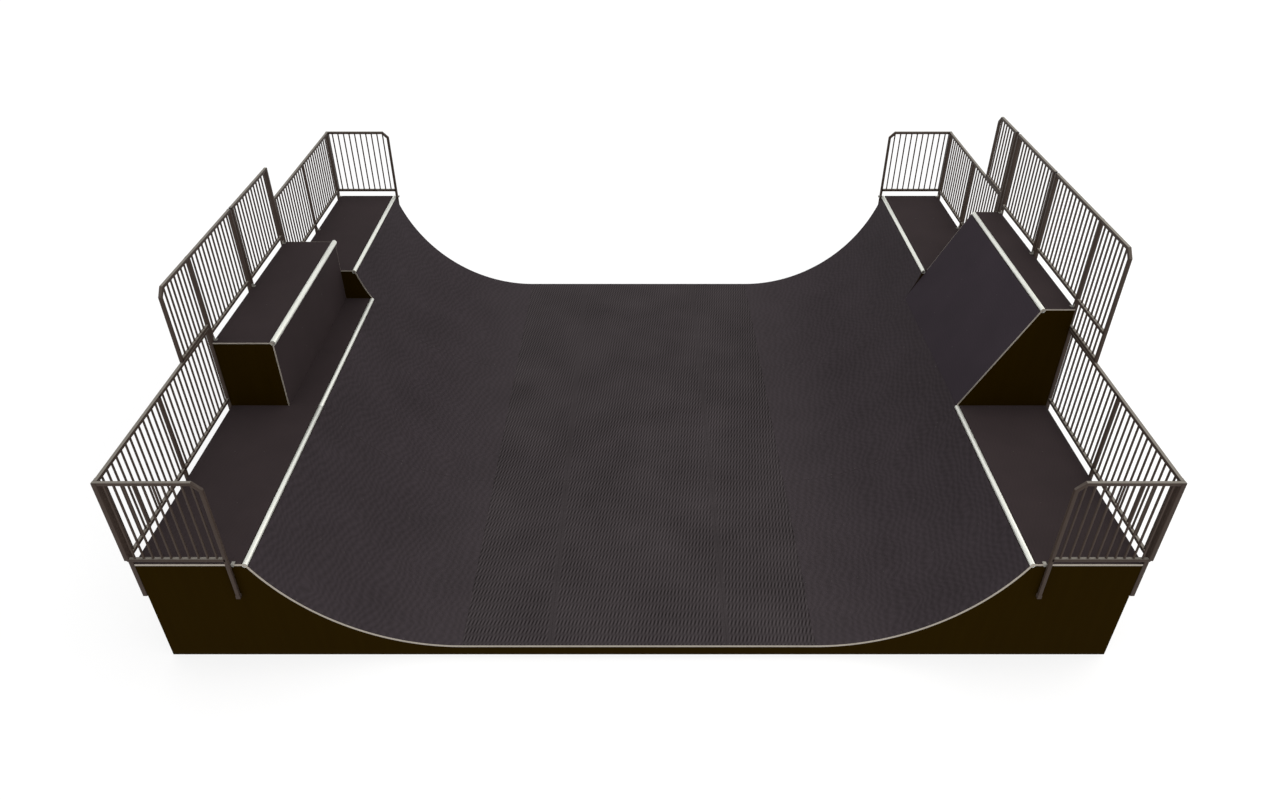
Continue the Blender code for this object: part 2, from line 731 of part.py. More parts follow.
def plain_rail(name, side, deck, first, last, material):
    """A side rail one bay long."""
    top, low = deck + RAIL_HEIGHT, deck + RAIL_CLEAR + TUBE / 2
    length = last - first
    uprights = [(0.0, deck - LEG, POST), (length, deck - LEG, POST)]
    bays = [(0.0, length, low, BAR_PITCH)]
    made = guard_rail(name, (0.0, length, top), uprights, [(0.0, length, low)], bays, material)
    place_rail(made, side * SIDE_RAIL_X, first, 1)


def rear_overhang_rail(name, side, deck, lower_deck, first, last, material):
    """A short rail that reaches back over the lower rail behind it, on a leg of its own."""
    top, under = deck + RAIL_HEIGHT, lower_deck + RAIL_HEIGHT
    length = last - first
    shelf = under + RAIL_CLEARANCE + TUBE / 2
    made = guard_rail(
        name,
        (0.0, length, top),
        [(0.0, lower_deck - LEG, POST)],
        [(0.0, length - TUBE / 2, shelf)],
        [(0.0, length - TUBE / 2, shelf, BAR_PITCH)],
        material,
        chamfer_last=under + RAIL_CLEARANCE,
    )
    place_rail(made, side * SIDE_RAIL_X, first, 1)


def guard_rails(materials):
    steel = materials["rail"]
    end_rails(materials)
    front_first, front_last = -HALF_DEPTH + RAIL_INSET, -SECTION / 2 + 0.020
    rear_last = HALF_DEPTH - RAIL_INSET
    side_rail("side_rail_front_left", LEFT, LOW_DECK, front_first, front_last, steel)
    side_rail("side_rail_front_right", RIGHT, LOW_DECK, front_first, front_last, steel)
    side_rail("side_rail_rear_left", LEFT, HIGH_DECK, REAR_LEFT_RAIL_START, rear_last, steel)
    side_rail("side_rail_rear_right", RIGHT, HIGH_DECK, REAR_RIGHT_RAIL_START, rear_last, steel)
    overhang_rail("box_rail_front", LEFT, BOX_TOP, BOX_RAIL_SPANS[0], steel)
    plain_rail("box_rail_rear", LEFT, BOX_TOP, *BOX_RAIL_SPANS[1], steel)
    overhang_rail("extension_rail_front", RIGHT, EXTENSION_TOP, EXTENSION_RAIL_SPANS[0], steel)
    plain_rail("extension_rail_middle", RIGHT, EXTENSION_TOP, *EXTENSION_RAIL_SPANS[1], steel)
    rear_overhang_rail("extension_rail_rear", RIGHT, EXTENSION_TOP, HIGH_DECK, *EXTENSION_REAR_RAIL, steel)


def clear_scene():
    for thing in list(bpy.data.objects):
        bpy.data.objects.remove(thing, do_unlink=True)


def main():
    clear_scene()
    materials = make_materials()
    flat_sheets(materials)
    curved_sheets(materials)
    bank_sheet(materials)
    deck_boards(materials)
    box_wall(materials)
    copings(materials)
    end_panels(materials)
    step_panels(materials)
    box_and_extension_panels(materials)
    outer_panel("outer_panel_left", LEFT, BOX_TOP, materials["panel"])
    outer_panel("outer_panel_right", RIGHT, EXTENSION_TOP, materials["panel"])
    side_frame("frame_left", LEFT, materials["timber"])
    side_frame("frame_right", RIGHT, materials["timber"])
    flat_frame(materials["timber"])
    box_frame(materials["timber"])
    extension_frame(materials["timber"])
    front_strip(materials["strip"])
    box_strip(materials["strip"])
    extension_strip(materials["strip"])
    step_strip(materials["strip"])
    guard_rails(materials)


main()
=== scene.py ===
"""Looks of a modular skateboard mini ramp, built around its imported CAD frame.

The riding boards, copings, edge strips and guard rails are modelled again in finer detail, in metres
and in the frame of the CAD: +X runs along the riding direction, +Y from the front to the higher back
section and +Z up. The brown panels and the timber frames keep their CAD solids and get their finish here.
"""

from __future__ import annotations

import logging
import math
from dataclasses import dataclass, field
from enum import Enum
from functools import partial
from typing import Any, Callable, Iterable, Sequence

import bmesh
import bpy
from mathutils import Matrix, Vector

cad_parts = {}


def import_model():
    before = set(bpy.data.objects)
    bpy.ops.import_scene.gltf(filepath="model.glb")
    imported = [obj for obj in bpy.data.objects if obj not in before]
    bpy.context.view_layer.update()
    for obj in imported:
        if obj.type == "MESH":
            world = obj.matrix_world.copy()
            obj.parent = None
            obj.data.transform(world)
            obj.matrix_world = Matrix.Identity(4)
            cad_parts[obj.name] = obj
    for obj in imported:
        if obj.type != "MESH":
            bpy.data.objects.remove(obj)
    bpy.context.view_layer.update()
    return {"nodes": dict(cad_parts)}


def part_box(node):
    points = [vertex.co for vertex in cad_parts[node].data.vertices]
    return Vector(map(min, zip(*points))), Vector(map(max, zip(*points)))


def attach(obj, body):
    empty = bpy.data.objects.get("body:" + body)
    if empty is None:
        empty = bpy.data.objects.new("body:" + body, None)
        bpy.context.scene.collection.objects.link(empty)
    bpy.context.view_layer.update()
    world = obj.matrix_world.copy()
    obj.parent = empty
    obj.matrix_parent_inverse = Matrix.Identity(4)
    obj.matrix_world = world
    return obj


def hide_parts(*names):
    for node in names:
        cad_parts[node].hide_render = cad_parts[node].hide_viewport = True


LOG = logging.getLogger("mini_ramp")
Point = tuple[float, float]

# Heads of screws and bolts, as (radius, height) from the foot to the middle of the top.
BOARD_SCREW = ((0.0045, -0.001), (0.0045, 0.0001), (0.0036, 0.0003), (0.0018, 0.0003), (0.001575, -0.0008))
STRIP_SCREW = ((0.0035, -0.0015), (0.0035, 0.0001), (0.00245, 0.0003), (0.0014, 0.0003))
DOME_BOLT = ((0.0115, 0.0), (0.0115, 0.0002), (0.0085, 0.0006), (0.002, 0.0009))
PAN_HEAD = ((0.006, 0.0), (0.006, 0.0015), (0.004, 0.0026), (0.0015, 0.003))


# Small helpers


def linear(colour: str) -> tuple[float, float, float, float]:
    """Turns an sRGB hex colour into linear RGBA.

    Args:
        colour: The colour as "#rrggbb".

    Returns:
        Red, green, blue and alpha for a shader socket.
    """
    channels = [int(colour[i : i + 2], 16) / 255 for i in (1, 3, 5)]
    red, green, blue = (c / 12.92 if c <= 0.04045 else ((c + 0.055) / 1.055) ** 2.4 for c in channels)
    return red, green, blue, 1.0


def add_node(
    tree: bpy.types.NodeTree, kind: str, inputs: dict[str | int, Any] | None = None, **settings: Any
) -> bpy.types.Node:
    """Adds a node with its settings and links.

    Args:
        tree: The node tree that gets the node.
        kind: The node's type.
        inputs: What goes on its sockets. A node's first output or a given output is linked, and any
            other value is set.
        settings: The node's own properties.

    Returns:
        The new node.
    """
    node = tree.nodes.new(kind)
    for name, value in settings.items():
        setattr(node, name, value)
    for key, value in (inputs or {}).items():
        source = value.outputs[0] if isinstance(value, bpy.types.Node) else value
        if isinstance(source, bpy.types.NodeSocket):
            tree.links.new(source, node.inputs[key])
        else:
            node.inputs[key].default_value = source
    return node


def circle(sides: int) -> list[Point]:
    """Evenly spaced points round a circle of radius 1."""
    return [(math.cos(math.tau * i / sides), math.sin(math.tau * i / sides)) for i in range(sides)]


def offset_line(line: Sequence[Point], depth: float) -> list[Point]:
    """Moves a line to its right-hand side, with mitred corners.

    Args:
        line: Points of the line, in the order that keeps the riding side on the left.
        depth: How far the line moves.

    Returns:
        One moved point for each point of the line.
    """
    normals = []
    for (x0, z0), (x1, z1) in zip(line, line[1:]):
        length = math.hypot(x1 - x0, z1 - z0)
        normals.append(((z1 - z0) / length, -(x1 - x0) / length))
    moved = []
    for i, (x, z) in enumerate(line):
        before, after = normals[max(i - 1, 0)], normals[min(i, len(normals) - 1)]
        nx, nz = before[0] + after[0], before[1] + after[1]
        scale = depth * 2 / (nx * nx + nz * nz)
        moved.append((x + nx * scale, z + nz * scale))
    return moved


# Finishes


MATH, MIX, RANGE = "ShaderNodeMath", "ShaderNodeMix", "ShaderNodeMapRange"
NOISE, CRYSTALS, BUMP = "ShaderNodeTexNoise", "ShaderNodeTexVoronoi", "ShaderNodeBump"
PLACE, BOARD_MAP, SURFACE = "ShaderNodeTexCoord", "ShaderNodeUVMap", "ShaderNodeNewGeometry"
STRETCH, SPLIT = "ShaderNodeMapping", "ShaderNodeSeparateXYZ"
WHITE = (1.0, 1.0, 1.0, 1.0)

Adder = Callable[..., bpy.types.Node]
Socket = bpy.types.NodeSocket
Driven = dict[str, Socket]


@dataclass(frozen=True)
class Finish:
    """What every finish has: a maker's name and the plain numbers of its shader."""

    name: str
    roughness: float
    metallic: float = 0.0
    specular: float = 0.5

    def plain(self) -> dict[str, Any]:
        """The numbers that are the same all over, for the shader's own sockets."""
        return {"Roughness": self.roughness, "Metallic": self.metallic, "Specular IOR Level": self.specular}

    def pattern(self, add: Adder) -> Driven:
        """Adds the nodes of what varies over the surface. Every finish has its own.

        Args:
            add: Adds a node to the material.

        Returns:
            The output that drives each named socket of the shader.
        """
        raise NotImplementedError

    def make(self) -> bpy.types.Material:
        """Makes the material.

        Returns:
            The finished material.
        """
        material = bpy.data.materials.new(self.name)
        material.use_nodes = True
        tree = material.node_tree
        shader = tree.nodes["Principled BSDF"]
        for socket, value in self.plain().items():
            shader.inputs[socket].default_value = value
        for socket, output in self.pattern(partial(add_node, tree)).items():
            tree.links.new(output, shader.inputs[socket])
        return material


@dataclass(frozen=True)
class PressedFilmBoard(Finish):
    """Birch plywood faced with dark phenolic film, hot-pressed against a wire mesh.

    The press leaves rows of short slanted ridges that catch a little light, so the boards look finely
    combed and never shine; the light they catch is painted as a lighter ridge colour, a painted highlight.
    The real ridges are 3 to 5 mm apart. They are drawn about 45 mm apart, which
    is the finest that still shows on a ramp 11 m long.
    """

    colour: str = "#171414"
    # Painted highlight: the colour of the ridges where they catch light.
    lit_ridge: str = "#4e484a"
    ridge_pitch: float = 0.045
    row_pitch: float = 0.126
    lean: float = -0.75
    row_step: float = 0.75
    wander: float = 0.8
    wander_scale: float = 2.5
    contrast: float = 1.0
    cloud: float = 1.3
    cloud_share: float = 0.5
    grit: float = 90.0
    grit_share: float = 0.2
    spread: float = 0.6
    sheen_swing: float = 0.06
    relief: float = 0.25
    rubbed_edges: bool = True
    rubbed: str = "#4a4546"
    rubbed_veil: float = 0.06
    joint_at: float = 1.05
    joint_reach: tuple[float, float] = (0.015, 0.06)
    # Painted light: a curve is lightened towards its foot, where it meets the flat, as if lit like the
    # flat.
    lit_foot: bool = False
    foot_light: str = "#6a6465"
    foot_light_veil: float = 0.07
    foot_light_reach: tuple[float, float] = (2.1, 3.3)

    def pattern(self, add: Adder) -> Driven:
        """Lays the ridges, clouds and grit, the wheels' rubbing along the joints, and the painted light
        that lightens a curve towards its foot.

        Args:
            add: Adds a node to the material.

        Returns:
            The outputs for colour, roughness and normal.
        """
        board = add(SPLIT, {0: add(BOARD_MAP, uv_map="board")})
        across, along = board.outputs["X"], board.outputs["Y"]
        place = add(PLACE).outputs["Object"]
        ridges = self.ridges(add, across, along, place)
        if self.rubbed_edges:
            band = self.rubbed_band(add, across)
            kept = add(MATH, {0: 1.0, 1: band}, operation="SUBTRACT")
            ridges = add(MATH, {0: ridges, 1: kept}, operation="MULTIPLY")
        height = add(RANGE, {"Value": ridges, "From Min": -1.0, "From Max": 1.0})
        clouds = add(NOISE, {"Vector": place, "Scale": self.cloud, "Detail": 4.0, "Roughness": 0.55})
        grit = add(NOISE, {"Vector": place, "Scale": self.grit, "Detail": 2.0})
        soft = add(MATH, {0: clouds, 1: self.cloud_share}, operation="MULTIPLY")
        light = add(MATH, {0: height, 1: self.contrast, 2: soft}, operation="MULTIPLY_ADD")
        shade = add(MATH, {0: grit, 1: self.grit_share, 2: light}, operation="MULTIPLY_ADD")
        middle = (self.contrast + self.cloud_share + self.grit_share) / 2
        low, high = middle - self.spread, middle + self.spread
        amount = add(RANGE, {"Value": shade, "From Min": low, "From Max": high})
        # Painted highlight: the ridges take a lighter colour for the light they catch, while their relief
        # is a real bump.
        layers = [(amount, linear(self.colour), linear(self.lit_ridge))]
        if self.rubbed_edges:
            veil = add(MATH, {0: band, 1: self.rubbed_veil}, operation="MULTIPLY")
            layers.append((veil, None, linear(self.rubbed)))
        # Painted light: lightens a curve towards its foot so that it blends into the flat's brightness.
        if self.lit_foot:
            side = add(MATH, {0: across}, operation="ABSOLUTE")
            near, far = self.foot_light_reach
            limits = {"From Min": near, "From Max": far, "To Min": self.foot_light_veil, "To Max": 0.0}
            layers.append((add(RANGE, {"Value": side} | limits), None, linear(self.foot_light)))
        colour = None
        for share, first, second in layers:
            blend = {0: share, 6: first or colour, 7: second}
            colour = add(MIX, blend, data_type="RGBA").outputs[2]
        low, high = self.roughness - self.sheen_swing, self.roughness + self.sheen_swing
        dull = add(RANGE, {"Value": shade, "To Min": low, "To Max": high})
        bump = add(BUMP, {"Strength": self.relief * self.contrast, "Distance": 0.001, "Height": height})
        return {"Base Color": colour, "Roughness": dull.outputs[0], "Normal": bump.outputs[0]}

    def ridges(self, add: Adder, across: Socket, along: Socket, place: Socket) -> bpy.types.Node:
        """Draws rows of slanted ridges that fade out at the rows' borders.

        Args:
            add: Adds a node to the material.
            across: Distance along the riding line.
            along: Distance across the ramp.
            place: The point in the ramp's frame, which lets the ridges wander.

        Returns:
            A node that runs from -1 between the ridges to 1 on top of them.
        """
        rows = add(MATH, {0: along, 1: self.row_pitch}, operation="DIVIDE")
        row, within = (add(MATH, {0: rows}, operation=part) for part in ("FLOOR", "FRACT"))
        pitch = add(MATH, {0: across, 1: self.ridge_pitch}, operation="DIVIDE")
        leaning = add(MATH, {0: within, 1: self.lean, 2: pitch}, operation="MULTIPLY_ADD")
        drift = add(NOISE, {"Vector": place, "Scale": self.wander_scale, "Detail": 3.0})
        drifting = add(MATH, {0: drift, 1: self.wander, 2: leaning}, operation="MULTIPLY_ADD")
        shifted = add(MATH, {0: row, 1: self.row_step, 2: drifting}, operation="MULTIPLY_ADD")
        turns = ((shifted, math.tau), (within, math.pi))
        angles = [add(MATH, {0: value, 1: turn}, operation="MULTIPLY") for value, turn in turns]
        wave, fade = (add(MATH, {0: angle}, operation="SINE") for angle in angles)
        return add(MATH, {0: wave, 1: fade}, operation="MULTIPLY")

    def rubbed_band(self, add: Adder, across: Socket) -> bpy.types.Node:
        """Shows where wheels have rubbed the ridges away, along the joints between sheets.

        Args:
            add: Adds a node to the material.
            across: Distance along the riding line.

        Returns:
            A node that is 1 at a joint and 0 a little away from it.
        """
        side = add(MATH, {0: across}, operation="ABSOLUTE")
        gap = add(MATH, {0: side, 1: self.joint_at}, operation="SUBTRACT")
        away = add(MATH, {0: gap}, operation="ABSOLUTE")
        near, far = self.joint_reach
        limits = {"From Min": near, "From Max": far, "To Min": 1.0, "To Max": 0.0}
        return add(RANGE, {"Value": away} | limits, interpolation_type="SMOOTHSTEP")


@dataclass(frozen=True)
class SealedPlyEdge(Finish):
    """The cut edge of birch plywood under brown sealer: nearly black, with its veneers just showing."""

    colour: str = "#1c1511"
    veneer: str = "#33271f"
    veneers: int = 13
    veneer_share: float = 0.3
    grain: float = 40.0

    def pattern(self, add: Adder) -> Driven:
        """Stripes the edge across the sheet's thickness.

        Args:
            add: Adds a node to the material.

        Returns:
            The output for colour.
        """
        board = add(SPLIT, {0: add(BOARD_MAP, uv_map="board")})
        turn = add(MATH, {0: board.outputs["Y"], 1: self.veneers * math.pi}, operation="MULTIPLY")
        stripes = add(MATH, {0: turn}, operation="SINE")
        grain = add(NOISE, {"Vector": add(PLACE).outputs["Object"], "Scale": self.grain, "Detail": 3.0})
        both = add(MATH, {0: stripes, 1: self.veneer_share, 2: grain}, operation="MULTIPLY_ADD")
        colour = add(MIX, {0: both, 6: linear(self.colour), 7: linear(self.veneer)}, data_type="RGBA")
        return {"Base Color": colour.outputs[2]}


@dataclass(frozen=True)
class SmoothFilmPanel(Finish):
    """Plywood faced with smooth dark brown phenolic film: a deep, warm, nearly black brown.

    The film follows the veneer below, so it has faint upright streaks about 55 mm wide, and dust lightens
    the lowest 50 mm.
    """

    colour: str = "#1e1300"
    streak: str = "#221700"
    dust: str = "#241a06"
    streak_scale: tuple[float, float, float] = (18.0, 18.0, 0.9)
    speckle: float = 14.0
    speckle_height: float = 0.12
    dust_veil: float = 0.35
    dust_reach: tuple[float, float] = (-0.06, 0.05)
    relief: float = 0.12

    def pattern(self, add: Adder) -> Driven:
        """Draws the streaks and the dusty foot.

        Args:
            add: Adds a node to the material.

        Returns:
            The outputs for colour and normal.
        """
        place = add(PLACE).outputs["Object"]
        stretched = add(STRETCH, {"Vector": place, "Scale": self.streak_scale})
        streaks = add(NOISE, {"Vector": stretched, "Scale": 1.0, "Detail": 5.0})
        film = add(MIX, {0: streaks, 6: linear(self.colour), 7: linear(self.streak)}, data_type="RGBA")
        up = add(SPLIT, {0: place}).outputs["Z"]
        speckle = add(NOISE, {"Vector": place, "Scale": self.speckle, "Detail": 6.0})
        height = add(MATH, {0: speckle, 1: -self.speckle_height, 2: up}, operation="MULTIPLY_ADD")
        low, high = self.dust_reach
        limits = {"From Min": low, "From Max": high, "To Min": self.dust_veil, "To Max": 0.0}
        foot = add(RANGE, {"Value": height} | limits)
        dusty = add(MIX, {0: foot, 6: film.outputs[2], 7: linear(self.dust)}, data_type="RGBA")
        bump = add(BUMP, {"Strength": self.relief, "Distance": 0.001, "Height": streaks})
        return {"Base Color": dusty.outputs[2], "Normal": bump.outputs[0]}


@dataclass(frozen=True)
class GroundMetal(Finish):
    """Bare or galvanised metal with fine lines along Y and faint crystal patches.

    Galvanised tube looks pale and slightly creamy, and grinding boards polish it in long streaks. A
    rolled strip is greyer, with finer lines. The crystals are 16 mm across, where real ones are 5 to 15 mm.
    """

    colour: str = "#f2f3ed"
    patch: str = "#e1e3da"
    line_scale: tuple[float, float, float] = (160.0, 2.0, 160.0)
    crystal: float = 60.0
    crystal_share: float = 0.4
    patch_reach: tuple[float, float] = (0.3, 0.9)
    sheen_swing: float = 0.08
    relief: float = 0.08

    def pattern(self, add: Adder) -> Driven:
        """Draws the lines and the crystals.

        Args:
            add: Adds a node to the material.

        Returns:
            The outputs for colour, roughness and normal.
        """
        place = add(PLACE).outputs["Object"]
        stretched = add(STRETCH, {"Vector": place, "Scale": self.line_scale})
        lines = add(NOISE, {"Vector": stretched, "Scale": 1.0, "Detail": 3.0})
        crystals = add(CRYSTALS, {"Vector": place, "Scale": self.crystal})
        both = add(MATH, {0: crystals, 1: self.crystal_share, 2: lines}, operation="MULTIPLY_ADD")
        near, far = self.patch_reach
        amount = add(RANGE, {"Value": both, "From Min": near, "From Max": far})
        colour = add(MIX, {0: amount, 6: linear(self.colour), 7: linear(self.patch)}, data_type="RGBA")
        low, high = self.roughness - self.sheen_swing, self.roughness + self.sheen_swing
        dull = add(RANGE, {"Value": lines, "To Min": low, "To Max": high})
        bump = add(BUMP, {"Strength": self.relief, "Distance": 0.0005, "Height": lines})
        return {"Base Color": colour.outputs[2], "Roughness": dull.outputs[0], "Normal": bump.outputs[0]}


@dataclass(frozen=True)
class CoatedSteel(Finish):
    """Steel tube with a dark, brownish satin coating.

    Its upward faces get a pale painted highlight that stands in for light from above, while its sides stay
    nearly black.
    """

    colour: str = "#392f2a"
    mottle: str = "#433831"
    # Pale colour of the painted highlight on upward faces.
    top_highlight: str = "#7d7870"
    mottle_scale: float = 9.0
    mottle_share: float = 0.3
    top_highlight_veil: float = 0.9
    top_highlight_reach: tuple[float, float] = (0.75, 1.15)
    peel: float = 220.0
    relief: float = 0.1

    def pattern(self, add: Adder) -> Driven:
        """Mottles the coating, paints a pale highlight on its upward faces and gives it a fine orange peel.

        Args:
            add: Adds a node to the material.

        Returns:
            The outputs for colour and normal.
        """
        place = add(PLACE).outputs["Object"]
        mottle = add(NOISE, {"Vector": place, "Scale": self.mottle_scale, "Detail": 5.0})
        coat = add(MIX, {0: mottle, 6: linear(self.colour), 7: linear(self.mottle)}, data_type="RGBA")
        # Painted highlight: faces that point up are mixed towards a pale colour, as if lit from above; the
        # mottle frays its edge.
        up = add(SPLIT, {0: add(SURFACE).outputs["Normal"]}).outputs["Z"]
        lit_upward = add(MATH, {0: mottle, 1: self.mottle_share, 2: up}, operation="MULTIPLY_ADD")
        low, high = self.top_highlight_reach
        limits = {"From Min": low, "From Max": high, "To Max": self.top_highlight_veil}
        amount = add(RANGE, {"Value": lit_upward} | limits, interpolation_type="SMOOTHSTEP")
        colour = add(MIX, {0: amount, 6: coat.outputs[2], 7: linear(self.top_highlight)}, data_type="RGBA")
        orange_peel = add(NOISE, {"Vector": place, "Scale": self.peel, "Detail": 2.0})
        bump = add(BUMP, {"Strength": self.relief, "Distance": 0.0004, "Height": orange_peel})
        return {"Base Color": colour.outputs[2], "Normal": bump.outputs[0]}


@dataclass(frozen=True)
class GrainedFinish(Finish):
    """A finish of two close colours that mix along its grain, with relief where the grain can be felt."""

    colour: str = "#808080"
    grain: str = "#909090"
    grain_scale: tuple[float, float, float] = (1.0, 1.0, 1.0)
    detail: float = 2.0
    relief: float = 0.0

    def pattern(self, add: Adder) -> Driven:
        """Draws the grain.

        Args:
            add: Adds a node to the material.

        Returns:
            The output for colour, and the one for normal where there is relief.
        """
        place = add(STRETCH, {"Vector": add(PLACE).outputs["Object"], "Scale": self.grain_scale})
        grain = add(NOISE, {"Vector": place, "Scale": 1.0, "Detail": self.detail})
        colour = add(MIX, {0: grain, 6: linear(self.colour), 7: linear(self.grain)}, data_type="RGBA")
        driven = {"Base Color": colour.outputs[2]}
        if self.relief:
            bump = add(BUMP, {"Strength": self.relief, "Distance": 0.001, "Height": grain})
            driven["Normal"] = bump.outputs[0]
        return driven


@dataclass(frozen=True)
class SawnSoftwood(GrainedFinish):
    """Sawn softwood: pale yellow-brown, with grain lines about 8 mm apart along the timber."""

    colour: str = "#8e6d47"
    grain: str = "#c6a377"
    grain_scale: tuple[float, float, float] = (120.0, 10.0, 120.0)
    detail: float = 6.0
    relief: float = 0.2


@dataclass(frozen=True)
class MouldedPlug(GrainedFinish):
    """Moulded polyethylene of the tubes' end plugs: soft black, with a matt skin grained every 2.5 mm."""

    colour: str = "#141313"
    grain: str = "#211f1e"
    grain_scale: tuple[float, float, float] = (400.0, 400.0, 400.0)


@dataclass(frozen=True)
class StudioFloor(GrainedFinish):
    """Matt white acrylic studio floor, lit softly from below so that shadows on it stay faint."""

    colour: str = "#949494"
    grain: str = "#989898"
    grain_scale: tuple[float, float, float] = (0.3, 0.3, 0.3)
    glow: float = 0.725

    def plain(self) -> dict[str, Any]:
        """The plain numbers, with the light from below."""
        return super().plain() | {"Emission Color": WHITE, "Emission Strength": self.glow}


class Paint(Enum):
    """The finishes of the ramp, each with the record's material slot that it belongs to."""

    FLAT_BOARD = "riding_board", PressedFilmBoard("pressed_film_birch_ply_flat", 0.62, specular=0.015)
    CURVED_BOARD = "riding_board", PressedFilmBoard(
        "pressed_film_birch_ply_curve",
        0.62,
        specular=0.015,
        colour="#252122",
        lit_ridge="#433c40",
        ridge_pitch=0.09,
        row_pitch=0.09,
        contrast=0.35,
        lean=0.0,
        wander=4.0,
        rubbed_edges=False,
        lit_foot=True,
    )
    DECK_BOARD = "riding_board", PressedFilmBoard(
        "pressed_film_birch_ply_deck",
        0.64,
        specular=0.015,
        colour="#262122",
        lit_ridge="#3f3637",
        contrast=0.1,
        rubbed_edges=False,
    )
    BANK_BOARD = "riding_board", PressedFilmBoard(
        "pressed_film_birch_ply_bank",
        0.64,
        specular=0.015,
        colour="#252124",
        lit_ridge="#40383f",
        contrast=0.1,
        rubbed_edges=False,
    )
    PLY_EDGE = "riding_board", SealedPlyEdge("sealed_birch_ply_edge", 0.6, specular=0.2)
    PANEL = "brown_panel", SmoothFilmPanel("smooth_brown_film_ply", 0.6, specular=0.005)
    COPING = "coping_steel", GroundMetal("galvanised_coping_tube", 0.42, metallic=0.55)
    STRIP = "edge_metal", GroundMetal(
        "rolled_aluminium_strip",
        0.5,
        metallic=0.5,
        colour="#aca498",
        patch="#9b9388",
        line_scale=(3.0, 300.0, 300.0),
        crystal=20.0,
    )
    FASTENER = "edge_metal", GroundMetal(
        "blackened_stainless_screw", 0.4, metallic=1.0, colour="#6a6763", patch="#575450"
    )
    BRACKET = "coping_steel", GroundMetal(
        "zinc_plated_bracket", 0.5, metallic=0.8, colour="#a3a099", patch="#8f8d86"
    )
    RAIL = "rail_steel", CoatedSteel("satin_coated_steel_tube", 0.5, specular=0.1)
    PLUG = "rail_steel", MouldedPlug("moulded_polyethylene_plug", 0.6, specular=0.3)
    TIMBER = "frame_timber", SawnSoftwood("sawn_softwood", 0.75, specular=0.3)

    @property
    def slot(self) -> str:
        """The record's slot name."""
        return self.value[0]


Finishes = dict[Paint, bpy.types.Material]


def make_finishes() -> Finishes:
    """Makes every material of the ramp once."""
    return {paint: paint.value[1].make() for paint in Paint}


# Making pieces


